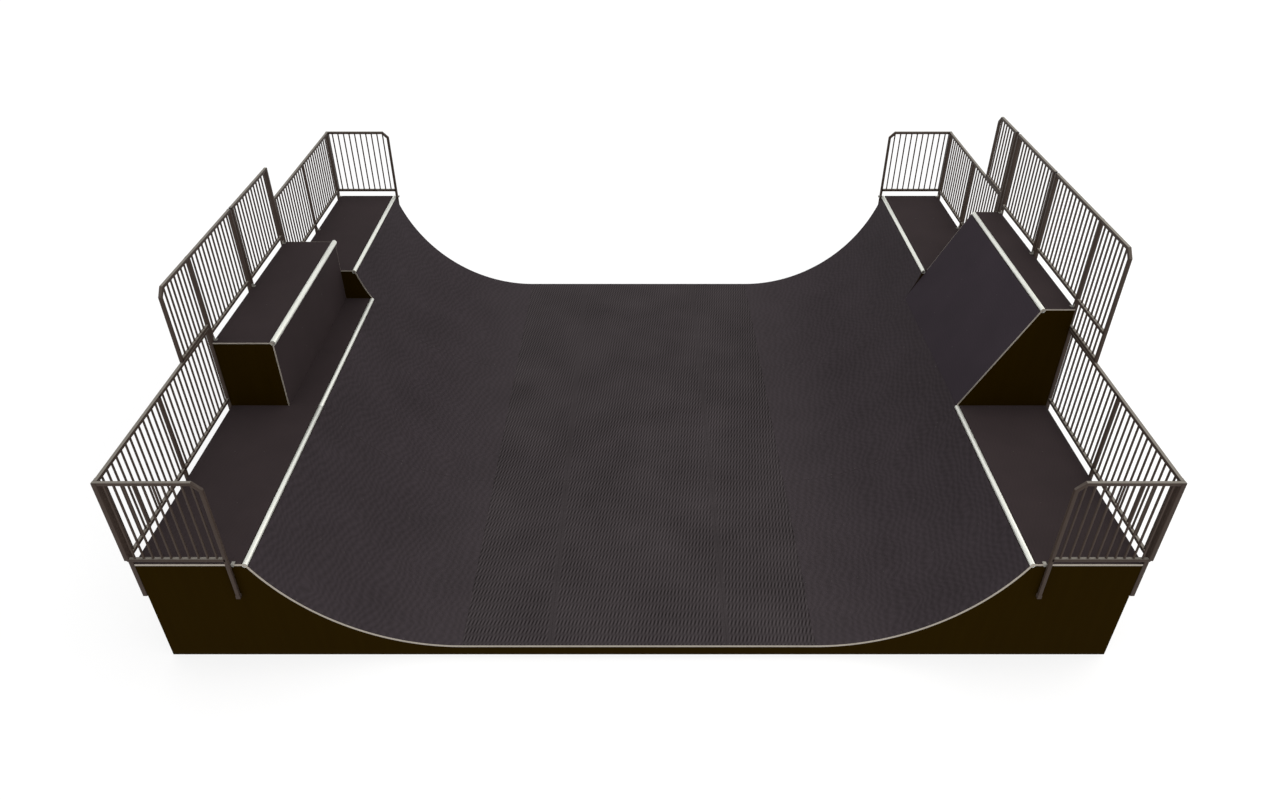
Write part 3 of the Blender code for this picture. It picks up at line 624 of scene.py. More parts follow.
class Piece:
    """Gathers the faces of one piece, then turns them into an object that rides on the ramp."""

    def __init__(self, name: str) -> None:
        """Starts an empty piece.

        Args:
            name: Its object's name.
        """
        self.name = name
        self.mesh = bmesh.new()
        self.flat = self.mesh.loops.layers.uv.new("board")

    def face(
        self, corners: Sequence[bmesh.types.BMVert], paint: int = 0, flat: Sequence[Point] = ()
    ) -> None:
        """Adds one face.

        Args:
            corners: Its vertices in order.
            paint: Index of its material.
            flat: Its UV corners in metres, where the finish needs them.
        """
        made = self.mesh.faces.new(corners)
        made.material_index = paint
        made.smooth = True
        for loop, place in zip(made.loops, flat):
            loop[self.flat].uv = place

    def ring(self, points: Iterable[Vector]) -> list[bmesh.types.BMVert]:
        """Adds a ring of vertices."""
        return [self.mesh.verts.new(point) for point in points]

    def loft(self, rings: Sequence[Sequence[Vector]], paint: int = 0, cap: int | None = 0) -> None:
        """Joins rings of equal length into a skin.

        Args:
            rings: The rings' points, from the first end to the last.
            paint: Material index of the skin.
            cap: Material index of the two end faces, or None for a closed loop of rings.
        """
        verts = [self.ring(points) for points in rings]
        pairs = list(zip(verts, verts[1:]))
        if cap is None:
            pairs.append((verts[-1], verts[0]))
        for low, high in pairs:
            for i in range(len(low)):
                j = (i + 1) % len(low)
                self.face((low[i], low[j], high[j], high[i]), paint)
        if cap is not None:
            self.face(verts[0], cap)
            self.face(verts[-1][::-1], cap)

    def sweep(
        self,
        path: Sequence[Vector],
        across: Vector,
        profile: Sequence[Point],
        paint: int = 0,
        cap: int = 0,
    ) -> None:
        """Draws a closed profile along a path that lies square to one direction, with mitred corners.

        Args:
            path: The path's points.
            across: The unit direction that the path is square to.
            profile: Points of the profile, as (across, sideways).
            paint: Material index of the skin.
            cap: Material index of the ends.
        """
        steps = [(b - a).normalized() for a, b in zip(path, path[1:])]
        sides = [across.cross(step) for step in steps]
        rings = []
        for i, point in enumerate(path):
            before, after = sides[max(i - 1, 0)], sides[min(i, len(sides) - 1)]
            mitre = (before + after).normalized()
            mitre = mitre / mitre.dot(before)
            rings.append([point + across * a + mitre * b for a, b in profile])
        self.loft(rings, paint, cap)

    def box(self, low: Sequence[float], high: Sequence[float], paint: int = 0) -> None:
        """Adds a closed box."""
        corners = [(low[0], low[1]), (high[0], low[1]), (high[0], high[1]), (low[0], high[1])]
        self.loft([[Vector((x, y, z)) for x, y in corners] for z in (low[2], high[2])], paint, paint)

    def stud(
        self, place: Vector, axis: Vector, profile: Sequence[Point], sides: int, paint: int = 0
    ) -> None:
        """Turns a profile round an axis, as for a screw head, bolt or washer.

        Args:
            place: Where the axis meets the surface.
            axis: The direction that the head stands in.
            profile: Points of (radius, height), from the foot to the middle of the top.
            sides: Corners round the axis.
            paint: Material index.
        """
        turn = axis.to_track_quat("Z", "Y").to_matrix()
        corners = circle(sides)
        rings = []
        for radius, height in profile:
            rings.append([place + turn @ Vector((radius * x, radius * y, height)) for x, y in corners])
        self.loft(rings, paint, paint)

    def finish(
        self,
        paints: Sequence[Paint],
        finishes: Finishes,
        replaced: Sequence[str] = (),
        bevel: float = 0.0,
        sharp: float = 35.0,
    ) -> bpy.types.Object:
        """Turns the piece into an object, dresses it and makes it ride.

        Args:
            paints: The finishes that its faces index.
            finishes: Every material.
            replaced: The CAD nodes that the piece stands for.
            bevel: Width of its rounded edges, in metres.
            sharp: Edges that turn by more than this many degrees stay crisp.

        Returns:
            The finished object.
        """
        bmesh.ops.recalc_face_normals(self.mesh, faces=self.mesh.faces)
        data = bpy.data.meshes.new(self.name)
        self.mesh.to_mesh(data)
        self.mesh.free()
        data.set_sharp_from_angle(angle=math.radians(sharp))
        for paint in paints:
            data.materials.append(finishes[paint])
        made = bpy.data.objects.new(self.name, data)
        bpy.context.scene.collection.objects.link(made)
        if bevel:
            rounded = made.modifiers.new("rounded_edges", "BEVEL")
            rounded.width = bevel
            rounded.segments = 2
            rounded.limit_method = "ANGLE"
            rounded.angle_limit = math.radians(sharp)
            rounded.harden_normals = True
        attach(made, "root")
        if replaced:
            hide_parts(*replaced)
        LOG.info("%s: %d faces", self.name, len(data.polygons))
        return made


def rounded_square(size: float, corner: float, steps: int) -> list[Point]:
    """Outline of a square tube with rounded corners.

    Args:
        size: Width over the tube.
        corner: Outer radius of its corners.
        steps: Facets in each corner.

    Returns:
        Points round the outline.
    """
    reach = size / 2 - corner
    points = []
    for quarter, (x, y) in enumerate(((1, 1), (-1, 1), (-1, -1), (1, -1))):
        for i in range(steps + 1):
            angle = math.pi / 2 * (quarter + i / steps)
            points.append((x * reach + corner * math.cos(angle), y * reach + corner * math.sin(angle)))
    return points


# The ramp's shape


@dataclass(frozen=True)
class RampPlan:
    """Sizes of the riding line that several sub-assemblies share, in metres."""

    half_depth: float = 4.575
    half_width: float = 5.57
    flat_half: float = 2.1
    flat_top: float = 0.16
    radius: float = 2.55
    low_deck: float = 1.5
    high_deck: float = 2.0
    box_top: float = 2.5
    box_wall: float = 4.778
    extension_top: float = 3.0
    sheet: float = 0.018
    joint: float = 0.0005
    arc_steps: int = 48

    def curve_point(self, angle: float) -> Point:
        """A point on the right-hand curve, where angle 0 is its foot."""
        rise = self.flat_top + self.radius - self.radius * math.cos(angle)
        return self.flat_half + self.radius * math.sin(angle), rise

    def angle_at(self, height: float) -> float:
        """The curve's angle at a height."""
        return math.acos((self.flat_top + self.radius - height) / self.radius)

    def curve(self, first: float, last: float) -> list[Point]:
        """Points along the right-hand curve, from one angle to another."""
        steps = max(4, round(self.arc_steps * (last - first)))
        return [self.curve_point(first + (last - first) * i / steps) for i in range(steps + 1)]

    def bank_point(self, along: float) -> Point:
        """A point on the straight bank.

        Args:
            along: Distance up the slope from its foot.

        Returns:
            The point's (x, z).
        """
        angle = self.angle_at(self.low_deck)
        x, z = self.curve_point(angle)
        return x + math.cos(angle) * along, z + math.sin(angle) * along

    def bank_at(self, height: float) -> Point:
        """The bank's point at a height."""
        foot = self.bank_point(0.0)[1]
        return self.bank_point((height - foot) / math.sin(self.angle_at(self.low_deck)))


def mirror(line: Sequence[Point]) -> list[Point]:
    """The same line on the left-hand side, still in the order that keeps the riding side on the left."""
    return [(-x, z) for x, z in reversed(line)]


@dataclass
class RidingBoards:
    """The plywood boards that are ridden and stood on: flat, curves, bank, decks and the box's wall."""

    plan: RampPlan
    finishes: Finishes
    edge_round: float = 0.0012
    screw_pitch: float = 0.35
    screw_inset: float = 0.03
    screw_sides: int = 8
    ribs: int = 4
    crease: float = 25.0
    screws: list[tuple[Vector, Vector]] = field(default_factory=list)

    def board(self, piece: Piece, line: Sequence[Point], start: float, end: float, first: float) -> None:
        """Adds one sheet to a piece.

        Args:
            piece: The piece that gets it.
            line: The riding face's line, with the riding side on its left.
            start: Where the sheet starts along Y.
            end: Where it ends along Y.
            first: Distance along the ramp's whole riding line of the line's first point.
        """
        under = offset_line(line, self.plan.sheet)
        places = [first]
        for (x0, z0), (x1, z1) in zip(line, line[1:]):
            places.append(places[-1] + math.hypot(x1 - x0, z1 - z0))
        grids = []
        for points in (line, under):
            grids.append([[piece.mesh.verts.new((x, y, z)) for y in (start, end)] for x, z in points])
        top, low = grids
        for i, (a, b) in enumerate(zip(places, places[1:])):
            flat = ((a, start), (b, start), (b, end), (a, end))
            piece.face((top[i][0], top[i + 1][0], top[i + 1][1], top[i][1]), 0, flat)
            piece.face((low[i][1], low[i + 1][1], low[i + 1][0], low[i][0]), 0, flat[::-1])
            edge = ((a, 0.0), (b, 0.0), (b, 1.0), (a, 1.0))
            piece.face((low[i][0], low[i + 1][0], top[i + 1][0], top[i][0]), 1, edge)
            piece.face((top[i][1], top[i + 1][1], low[i + 1][1], low[i][1]), 1, edge[::-1])
        edge = ((start, 0.0), (start, 1.0), (end, 1.0), (end, 0.0))
        piece.face((low[0][0], top[0][0], top[0][1], low[0][1]), 1, edge)
        piece.face((low[-1][1], top[-1][1], top[-1][0], low[-1][0]), 1, edge)
        self.screw_down(line, start, end)

    def screw_down(self, line: Sequence[Point], start: float, end: float) -> None:
        """Notes a screw wherever a row along the sheet crosses one of its ribs.

        Args:
            line: The sheet's line.
            start: Where the sheet starts along Y.
            end: Where it ends along Y.
        """
        lengths = [math.dist(a, b) for a, b in zip(line, line[1:])]
        total = sum(lengths)
        count = max(2, round((total - 2 * self.screw_inset) / self.screw_pitch) + 1)
        for k in range(count):
            left = self.screw_inset + (total - 2 * self.screw_inset) * k / (count - 1)
            i = 0
            while i < len(lengths) - 1 and left > lengths[i]:
                left -= lengths[i]
                i += 1
            (x0, z0), (x1, z1) = line[i], line[i + 1]
            share = left / lengths[i]
            normal = Vector((z0 - z1, 0.0, x1 - x0)).normalized()
            for rib in range(self.ribs):
                y = start + self.screw_inset + (end - start - 2 * self.screw_inset) * rib / (self.ribs - 1)
                self.screws.append((Vector((x0 + (x1 - x0) * share, y, z0 + (z1 - z0) * share)), normal))

    def sheet(self, node: str, lines: Sequence[tuple[Sequence[Point], float]], paint: Paint) -> None:
        """Makes the piece that stands for one CAD board.

        Args:
            node: The CAD board.
            lines: The riding line and its distance along the ramp, for each sheet in the piece.
            paint: The finish of its faces.
        """
        low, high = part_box(node)
        piece = Piece(f"{node}_boards")
        for line, first in lines:
            self.board(piece, line, low.y, high.y, first)
        piece.finish((paint, Paint.PLY_EDGE), self.finishes, (node,), self.edge_round, self.crease)

    def flats(self) -> None:
        """Makes the flat bottom, three sheets across in every section."""
        plan, seam = self.plan, self.plan.flat_half / 2
        for section in ("front", "middle", "rear"):
            lines = []
            for left, right in ((-plan.flat_half, -seam), (-seam, seam), (seam, plan.flat_half)):
                ends = (left + plan.joint, right - plan.joint)
                lines.append(([(x, plan.flat_top) for x in ends], ends[0]))
            self.sheet(f"flat_sheet_{section}", lines, Paint.FLAT_BOARD)

    def curves(self) -> None:
        """Makes the six bent sheets of the quarter pipes."""
        for section in ("front", "middle", "rear"):
            for word in ("left", "right"):
                node = f"curved_sheet_{word}_{section}"
                line = self.plan.curve(0.0, self.plan.angle_at(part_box(node)[1].z))
                if word == "right":
                    self.sheet(node, [(line, self.plan.flat_half)], Paint.CURVED_BOARD)
                    continue
                line = mirror(line)
                length = sum(math.dist(a, b) for a, b in zip(line, line[1:]))
                self.sheet(node, [(line, -self.plan.flat_half - length)], Paint.CURVED_BOARD)

    def bank(self) -> None:
        """Makes the straight bank above the right-hand middle curve."""
        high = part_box("bank_sheet")[1].z
        first, last = self.plan.bank_point(2 * self.plan.joint), self.plan.bank_at(high)
        start = self.plan.flat_half + self.plan.radius * self.plan.angle_at(self.plan.low_deck)
        self.sheet("bank_sheet", [([first, last], start)], Paint.BANK_BOARD)

    def decks(self) -> None:
        """Makes the level boards."""
        nodes = ["deck_left_front", "deck_left_middle", "deck_left_rear", "deck_right_front"]
        nodes += ["deck_right_rear", "box_top", "extension_deck"]
        for node in nodes:
            low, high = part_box(node)
            self.sheet(node, [([(low.x, high.z), (high.x, high.z)], low.x)], Paint.DECK_BOARD)

    def wall(self) -> None:
        """Makes the upright riding wall of the box."""
        low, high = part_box("box_wall")
        self.sheet("box_wall", [([(high.x, high.z), (high.x, low.z)], 0.0)], Paint.DECK_BOARD)

    def screw_heads(self) -> None:
        """Makes the countersunk heads, a third of a millimetre above the boards."""
        piece = Piece("board_screws")
        for place, normal in self.screws:
            piece.stud(place, normal, BOARD_SCREW, self.screw_sides)
        piece.finish((Paint.FASTENER,), self.finishes)

    def build(self) -> None:
        """Makes every board and its screws."""
        self.flats()
        self.curves()
        self.bank()
        self.decks()
        self.wall()
        self.screw_heads()


@dataclass
class Copings:
    """The round steel tubes along the edges that are ground, closed by a welded disc at each end."""

    finishes: Finishes
    wall: float = 0.004
    section: float = 3.05
    joint: float = 0.0012
    rounding: float = 0.0012
    cap: float = 0.004
    sunk: float = 0.0003
    sides: int = 40
    crease: float = 50.0

    def tube(self, piece: Piece, centre: Point, radius: float, start: float, end: float) -> None:
        """Adds one tube with softened ends, closed by discs.

        Args:
            piece: The piece that gets it.
            centre: Its middle, as (x, z).
            radius: Its outer radius.
            start: Where it starts along Y.
            end: Where it ends along Y.
        """
        soft, bore = self.rounding, radius - self.wall
        profile = [
            (radius, start + soft),
            (radius, end - soft),
            (radius - soft, end),
            (bore + soft, end),
            (bore, end - soft),
            (bore, start + soft),
            (bore + soft, start),
            (radius - soft, start),
        ]
        middle_x, middle_z = centre
        corners = circle(self.sides)
        rings = []
        for reach, y in profile:
            rings.append([Vector((middle_x + reach * x, y, middle_z + reach * z)) for x, z in corners])
        piece.loft(rings, 0, None)
        for y, inward in ((start, 1.0), (end, -1.0)):
            place = Vector((middle_x, y + inward * self.cap, middle_z))
            profile = ((bore, 0.0), (bore, self.cap - soft), (bore - 2 * soft, self.cap - self.sunk))
            piece.stud(place, Vector((0.0, -inward, 0.0)), profile, self.sides, 1)

    def build(self) -> None:
        """Makes a tube for every CAD coping, in lengths of one section."""
        nodes = ["coping_left", "coping_left_rear", "coping_right_front", "coping_right_rear"]
        for node in nodes + ["coping_box", "coping_extension"]:
            low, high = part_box(node)
            radius = (high.z - low.z) / 2
            centre = ((low.x + high.x) / 2, (low.z + high.z) / 2)
            count = round((high.y - low.y) / self.section)
            step = (high.y - low.y) / count
            piece = Piece(f"{node}_tube")
            for i in range(count):
                start = low.y + step * i + (self.joint / 2 if i else 0.0)
                end = low.y + step * (i + 1) - (self.joint / 2 if i < count - 1 else 0.0)
                self.tube(piece, centre, radius, start, end)
            piece.finish((Paint.COPING, Paint.BRACKET), self.finishes, (node,), sharp=self.crease)


@dataclass
class EdgeStrips:
    """Thin metal strips that guard the boards' edges, with their screws."""

    plan: RampPlan
    finishes: Finishes
    wide: float = 0.025
    slim: float = 0.018
    lift: float = 0.008
    screw_pitch: float = 0.3
    screw_sides: int = 8
    soften: float = 0.0008
    crease: float = 25.0

    def strip(
        self, name: str, line: Sequence[Point], wide: float, faces: Point, replaced: Sequence[str]
    ) -> None:
        """Makes one strip below a line of (x, z) points.

        Args:
            name: The piece's name.
            line: The strip's upper edge, with the riding side on its left.
            wide: The strip's width.
            faces: Where its outer and inner faces stand along Y, the outer one first.
            replaced: The CAD node that it stands for, if there is one.
        """
        piece = Piece(name)
        under = offset_line(line, wide)
        start, end = sorted(faces)
        rings = []
        for (x0, z0), (x1, z1) in zip(line, under):
            corners = ((x0, start, z0), (x0, end, z0), (x1, end, z1), (x1, start, z1))
            rings.append([Vector(corner) for corner in corners])
        piece.loft(rings)
        self.add_screws(piece, offset_line(line, wide / 2), faces)
        piece.finish((Paint.STRIP, Paint.FASTENER), self.finishes, replaced, self.soften, self.crease)

    def add_screws(self, piece: Piece, line: Sequence[Point], faces: Point) -> None:
        """Adds flush screw heads along the middle of a strip.

        Args:
            piece: The piece that gets them.
            line: The strip's middle line.
            faces: Where its outer and inner faces stand along Y, the outer one first.
        """
        outward = Vector((0.0, math.copysign(1.0, faces[0] - faces[1]), 0.0))
        wait = self.screw_pitch / 2
        for (x0, z0), (x1, z1) in zip(line, line[1:]):
            length = math.dist((x0, z0), (x1, z1))
            while wait < length:
                share = wait / length
                place = Vector((x0 + (x1 - x0) * share, faces[0], z0 + (z1 - z0) * share))
                piece.stud(place, outward, STRIP_SCREW, self.screw_sides, 1)
                wait += self.screw_pitch
            wait -= length

    def build(self) -> None:
        """Makes the strips of the front, the box, the extension and the step."""
        plan = self.plan
        low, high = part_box("edge_strip_front")
        right = plan.curve(0.0, plan.angle_at(plan.low_deck)) + [(high.x, plan.low_deck)]
        line = mirror(right) + right
        self.strip("front_edge_strip", line, self.wide, (low.y, high.y), ("edge_strip_front",))
        low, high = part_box("edge_strip_box")
        front = (low.y, high.y)
        box = [(low.x, plan.box_top), (-plan.box_wall, plan.box_top), (-plan.box_wall, low.z)]
        self.strip("box_edge_strip", box, self.slim, front, ("edge_strip_box",))
        extension = [plan.bank_at(plan.low_deck + self.lift), plan.bank_at(plan.extension_top)]
        extension.append((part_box("edge_strip_extension")[1].x, plan.extension_top))
        self.strip("extension_edge_strip", extension, self.slim, front, ("edge_strip_extension",))
        low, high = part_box("edge_strip_step")
        rise = plan.curve(plan.angle_at(plan.low_deck + self.lift), plan.angle_at(plan.high_deck))
        step = mirror(rise + [(-low.x, plan.high_deck)])
        self.strip("step_edge_strip", step, self.slim, (low.y, high.y), ("edge_strip_step",))
        back = (-front[0], -front[1])
        foot = plan.high_deck + self.lift
        box_back = box[:2] + [(-plan.box_wall, foot)]
        self.strip("box_back_strip", box_back, self.slim, back, ())
        extension_back = [plan.bank_at(foot)] + extension[1:]
        self.strip("extension_back_strip", extension_back, self.slim, back, ())


@dataclass(frozen=True)
class RailRun:
    """One guard rail in the making: its piece, and its directions u along the run, w across it and z up."""

    piece: Piece
    corner: Vector
    along: Vector

    @property
    def across(self) -> Vector:
        """The direction square to the run."""
        return Vector((-self.along.y, self.along.x, 0.0))

    def at(self, u: float, z: float, w: float = 0.0) -> Vector:
        """A point of the rail in the ramp's frame."""
        return self.corner + self.along * u + self.across * w + Vector((0.0, 0.0, z))

    def square(self, u: float, z: float, reach: float) -> list[Vector]:
        """Corners of a level square round a point of the rail."""
        corners = ((reach, reach), (-reach, reach), (-reach, -reach), (reach, -reach))
        return [self.at(u + a, z, b) for a, b in corners]


@dataclass
class GuardRails:
    """Welded guard rails of square tube, bent at their free ends, with square bars."""

    plan: RampPlan
    finishes: Finishes
    height: float = 1.2
    clear: float = 0.08
    leg: float = 0.5
    tube: float = 0.04
    post: float = 0.05
    bar: float = 0.02
    tube_corner: float = 0.0035
    bar_corner: float = 0.0025
    corner_steps: int = 3
    crease: float = 40.0
    bar_pitch: float = 0.1105
    overhang_pitch: float = 0.10166
    end_bar_pitch: float = 0.1
    chamfer: float = 0.1
    gap: float = 0.005
    line_x: float = 5.60
    line_y: float = 4.605
    overhang_post: float = 0.88
    corner_lift: float = 0.1
    corner_reach: float = 0.030
    top_drop: float = 0.004
    bead: float = 0.003
    bead_edge: float = 0.0003
    bolt_sides: int = 14
    post_bolt_drops: tuple[float, float] = (0.12, 0.42)
    leg_bolt_rise: float = 0.3
    sleeve_bolt_rise: float = 0.028
    sleeve_wall: float = 0.004
    sleeve_height: float = 0.05
    sleeve_lift: float = 0.0005

    def start(self, node: str, x: float, y: float, along: tuple[float, float]) -> RailRun:
        """Starts the rail that stands for a CAD rail."""
        return RailRun(Piece(f"{node}_steel"), Vector((x, y, 0.0)), Vector((*along, 0.0)))

    def finish(self, run: RailRun, node: str) -> None:
        """Turns a rail into its object."""
        paints = (Paint.RAIL, Paint.PLUG, Paint.BRACKET)
        run.piece.finish(paints, self.finishes, (node,), sharp=self.crease)

    def upright(self, run: RailRun, u: float, low: float, high: float, size: float) -> None:
        """Adds an upright tube with a plugged foot, or a bar.

        Args:
            run: The rail.
            u: Its place along the rail.
            low: Height of its foot.
            high: Height of its head.
            size: Its width.
        """
        plugged = size > self.bar
        corner, steps = (self.tube_corner, self.corner_steps) if plugged else (self.bar_corner, 1)
        profile = rounded_square(size, corner, steps)
        run.piece.sweep([run.at(u, low), run.at(u, high)], run.across, profile, 0, int(plugged))

    def bent(self, run: RailRun, path: Sequence[Point]) -> None:
        """Adds a tube with plugged ends along a path of (u, z) points."""
        profile = rounded_square(self.tube, self.tube_corner, self.corner_steps)
        run.piece.sweep([run.at(u, z) for u, z in path], run.across, profile, 0, 1)

    def top_tube(
        self, run: RailRun, start: float, end: float, top: float, feet: tuple[float | None, float | None]
    ) -> None:
        """Adds the top tube, which turns down over a chamfer at an end that has a foot.

        Args:
            run: The rail.
            start: Where the tube starts along the rail.
            end: Where it ends.
            top: Height of its upper face.
            feet: Height of the foot at its start and at its end, or None where it has none.
        """
        half = self.tube / 2
        bend = self.chamfer + half * math.tan(math.pi / 8)
        path = [(start, top - half)]
        if feet[0] is not None:
            path = [(start + half, feet[0]), (start + half, top - bend), (start + bend, top - half)]
        if feet[1] is None:
            path.append((end, top - half))
        else:
            path += [(end - bend, top - half), (end - half, top - bend), (end - half, feet[1])]
        self.bent(run, path)

    def weld(self, run: RailRun, u: float, z: float, up: float) -> None:
        """Adds the bead where a bar meets a tube, tapering away from the tube.

        Args:
            run: The rail.
            u: The bar's place along the rail.
            z: Height of the tube's face.
            up: 1 where the bar stands on the tube and -1 where it hangs from it.
        """
        wide, slim = self.bar / 2 + self.bead, self.bar / 2 + self.bead_edge
        run.piece.loft([run.square(u, z, wide), run.square(u, z + up * self.bead, slim)])

    def bars(self, run: RailRun, start: float, end: float, low: float, top: float, pitch: float) -> None:
        """Adds evenly pitched bars between two uprights.

        Args:
            run: The rail.
            start: Place of the first upright along the rail.
            end: Place of the second one.
            low: Height of the middle of the tube that they stand on.
            top: Height of the top tube's upper face.
            pitch: Distance from bar to bar.
        """
        count = math.floor((end - start) / pitch - 0.5)
        first = (start + end) / 2 - pitch * (count - 1) / 2
        for i in range(count):
            u = first + pitch * i
            self.upright(run, u, low, top - self.tube / 2, self.bar)
            self.weld(run, u, low + self.tube / 2, 1.0)
            self.weld(run, u, top - self.tube, -1.0)

    def side_rail(self, node: str, side: int, mid: bool) -> None:
        """Makes a rail along a deck's outer edge, with an upright at each end.

        Args:
            node: The CAD rail.
            side: -1 on the left and 1 on the right.
            mid: Whether an upright in the middle makes two bays of it.
        """
        low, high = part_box(node)
        first, top = low.y + self.post / 2, high.z
        length, deck = high.y - self.post / 2 - first, top - self.height
        shelf = deck + self.clear + self.tube / 2
        run = self.start(node, side * self.line_x, first, (0.0, 1.0))
        self.top_tube(run, -self.corner_reach, length + self.post / 2, top, (None, None))
        self.bent(run, ((0.0, shelf), (length, shelf)))
        for u in (0.0, length):
            self.upright(run, u, deck - self.leg, top - self.top_drop, self.post)
        stops = [0.0, length]
        if mid:
            stops.insert(1, length / 2)
            self.upright(run, length / 2, deck - self.leg, top - self.top_drop, self.tube)
            outward = Vector((side, 0.0, 0.0))
            for drop in self.post_bolt_drops:
                place = run.at(length / 2, deck - drop) + outward * self.tube / 2
                run.piece.stud(place, outward, DOME_BOLT, self.bolt_sides, 2)
        for start, end in zip(stops, stops[1:]):
            self.bars(run, start, end, shelf, top, self.bar_pitch)
        self.finish(run, node)

    def overhang_rail(self, node: str, side: int) -> None:
        """Makes a side rail whose first bay reaches forward over the lower rail in front of it.

        Args:
            node: The CAD rail.
            side: -1 on the left and 1 on the right.
        """
        low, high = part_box(node)
        last, top = high.y - self.post / 2 - low.y, high.z
        deck = top - self.height
        shelf = deck + self.clear + self.tube / 2
        under = self.plan.low_deck + self.height + self.gap
        start, ledge = self.tube / 2, under + self.tube / 2
        run = self.start(node, side * self.line_x, low.y, (0.0, 1.0))
        self.top_tube(run, 0.0, last, top, (under, None))
        self.bent(run, ((start, ledge), (self.overhang_post, ledge)))
        self.bent(run, ((self.overhang_post if shelf < ledge else start, shelf), (last, shelf)))
        for u in (self.overhang_post, last):
            self.upright(run, u, deck - self.leg, top - self.top_drop, self.post)
        self.bars(run, start, self.overhang_post, ledge, top, self.overhang_pitch)
        self.bars(run, self.overhang_post, last, shelf, top, self.bar_pitch)
        self.finish(run, node)

    def rear_overhang_rail(self, node: str, side: int) -> None:
        """Makes the short rail that reaches back over the lower rail behind it, on a leg of its own.

        Args:
            node: The CAD rail.
            side: -1 on the left and 1 on the right.
        """
        low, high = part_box(node)
        first, top = low.y + self.post / 2, high.z
        length, under = high.y - first, self.plan.high_deck + self.height + self.gap
        ledge, end = under + self.tube / 2, length - self.tube / 2
        run = self.start(node, side * self.line_x, first, (0.0, 1.0))
        self.top_tube(run, 0.0, length, top, (None, under))
        self.bent(run, ((0.0, ledge), (end, ledge)))
        self.upright(run, 0.0, low.z, top - self.top_drop, self.post)
        self.bars(run, 0.0, end, ledge, top, self.bar_pitch)
        self.finish(run, node)

    def end_rail(self, node: str, side: int, row: int) -> None:
        """Makes a rail across a deck's front or back edge, from the outer corner to the coping.

        Args:
            node: The CAD rail.
            side: -1 on the left and 1 on the right.
            row: -1 at the front and 1 at the back.
        """
        low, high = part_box(node)
        length, top = high.x - low.x, high.z
        deck = top - self.height
        shelf = deck + self.clear + self.tube / 2
        start, end = self.post / 2, length - self.tube / 2
        run = self.start(node, low.x if side < 0 else high.x, row * self.line_y, (-side, 0.0))
        self.top_tube(run, 0.0, length, top, (None, low.z))
        self.bent(run, ((start, shelf), (end, shelf)))
        self.upright(run, start, deck + self.corner_lift, top - self.top_drop, self.post)
        self.bars(run, start, end, shelf, top, self.end_bar_pitch)
        self.foot_sleeve(run, end, low.z, row)
        self.finish(run, node)

    def foot_sleeve(self, run: RailRun, u: float, z: float, row: int) -> None:
        """Adds the sleeve that closes a bent leg's foot, and the two dome bolts that hold the leg.

        Args:
            run: The rail.
            u: The leg's place along the rail.
            z: Height of its foot.
            row: -1 at the front and 1 at the back.
        """
        outward, lip, rise = Vector((0.0, row, 0.0)), self.sleeve_wall, self.sleeve_height
        half, reach = self.tube / 2, self.tube / 2 + lip
        profile = ((half, 0.0), (reach, lip), (reach, rise), (half, rise + lip))
        foot = z + self.sleeve_lift
        run.piece.loft([run.square(u, foot + height, spread) for spread, height in profile])
        for height, out in ((self.leg_bolt_rise, half), (self.sleeve_bolt_rise, reach)):
            run.piece.stud(run.at(u, z + height) + outward * out, outward, DOME_BOLT, self.bolt_sides)

    def build(self) -> None:
        """Makes all thirteen rails."""
        for side, word in ((-1, "left"), (1, "right")):
            self.side_rail(f"side_rail_front_{word}", side, True)
            self.side_rail(f"side_rail_rear_{word}", side, True)
            self.end_rail(f"end_rail_front_{word}", side, -1)
            self.end_rail(f"end_rail_rear_{word}", side, 1)
        self.overhang_rail("box_rail_front", -1)
        self.side_rail("box_rail_rear", -1, False)
        self.overhang_rail("extension_rail_front", 1)
        self.side_rail("extension_rail_middle", 1, False)
        self.rear_overhang_rail("extension_rail_rear", 1)


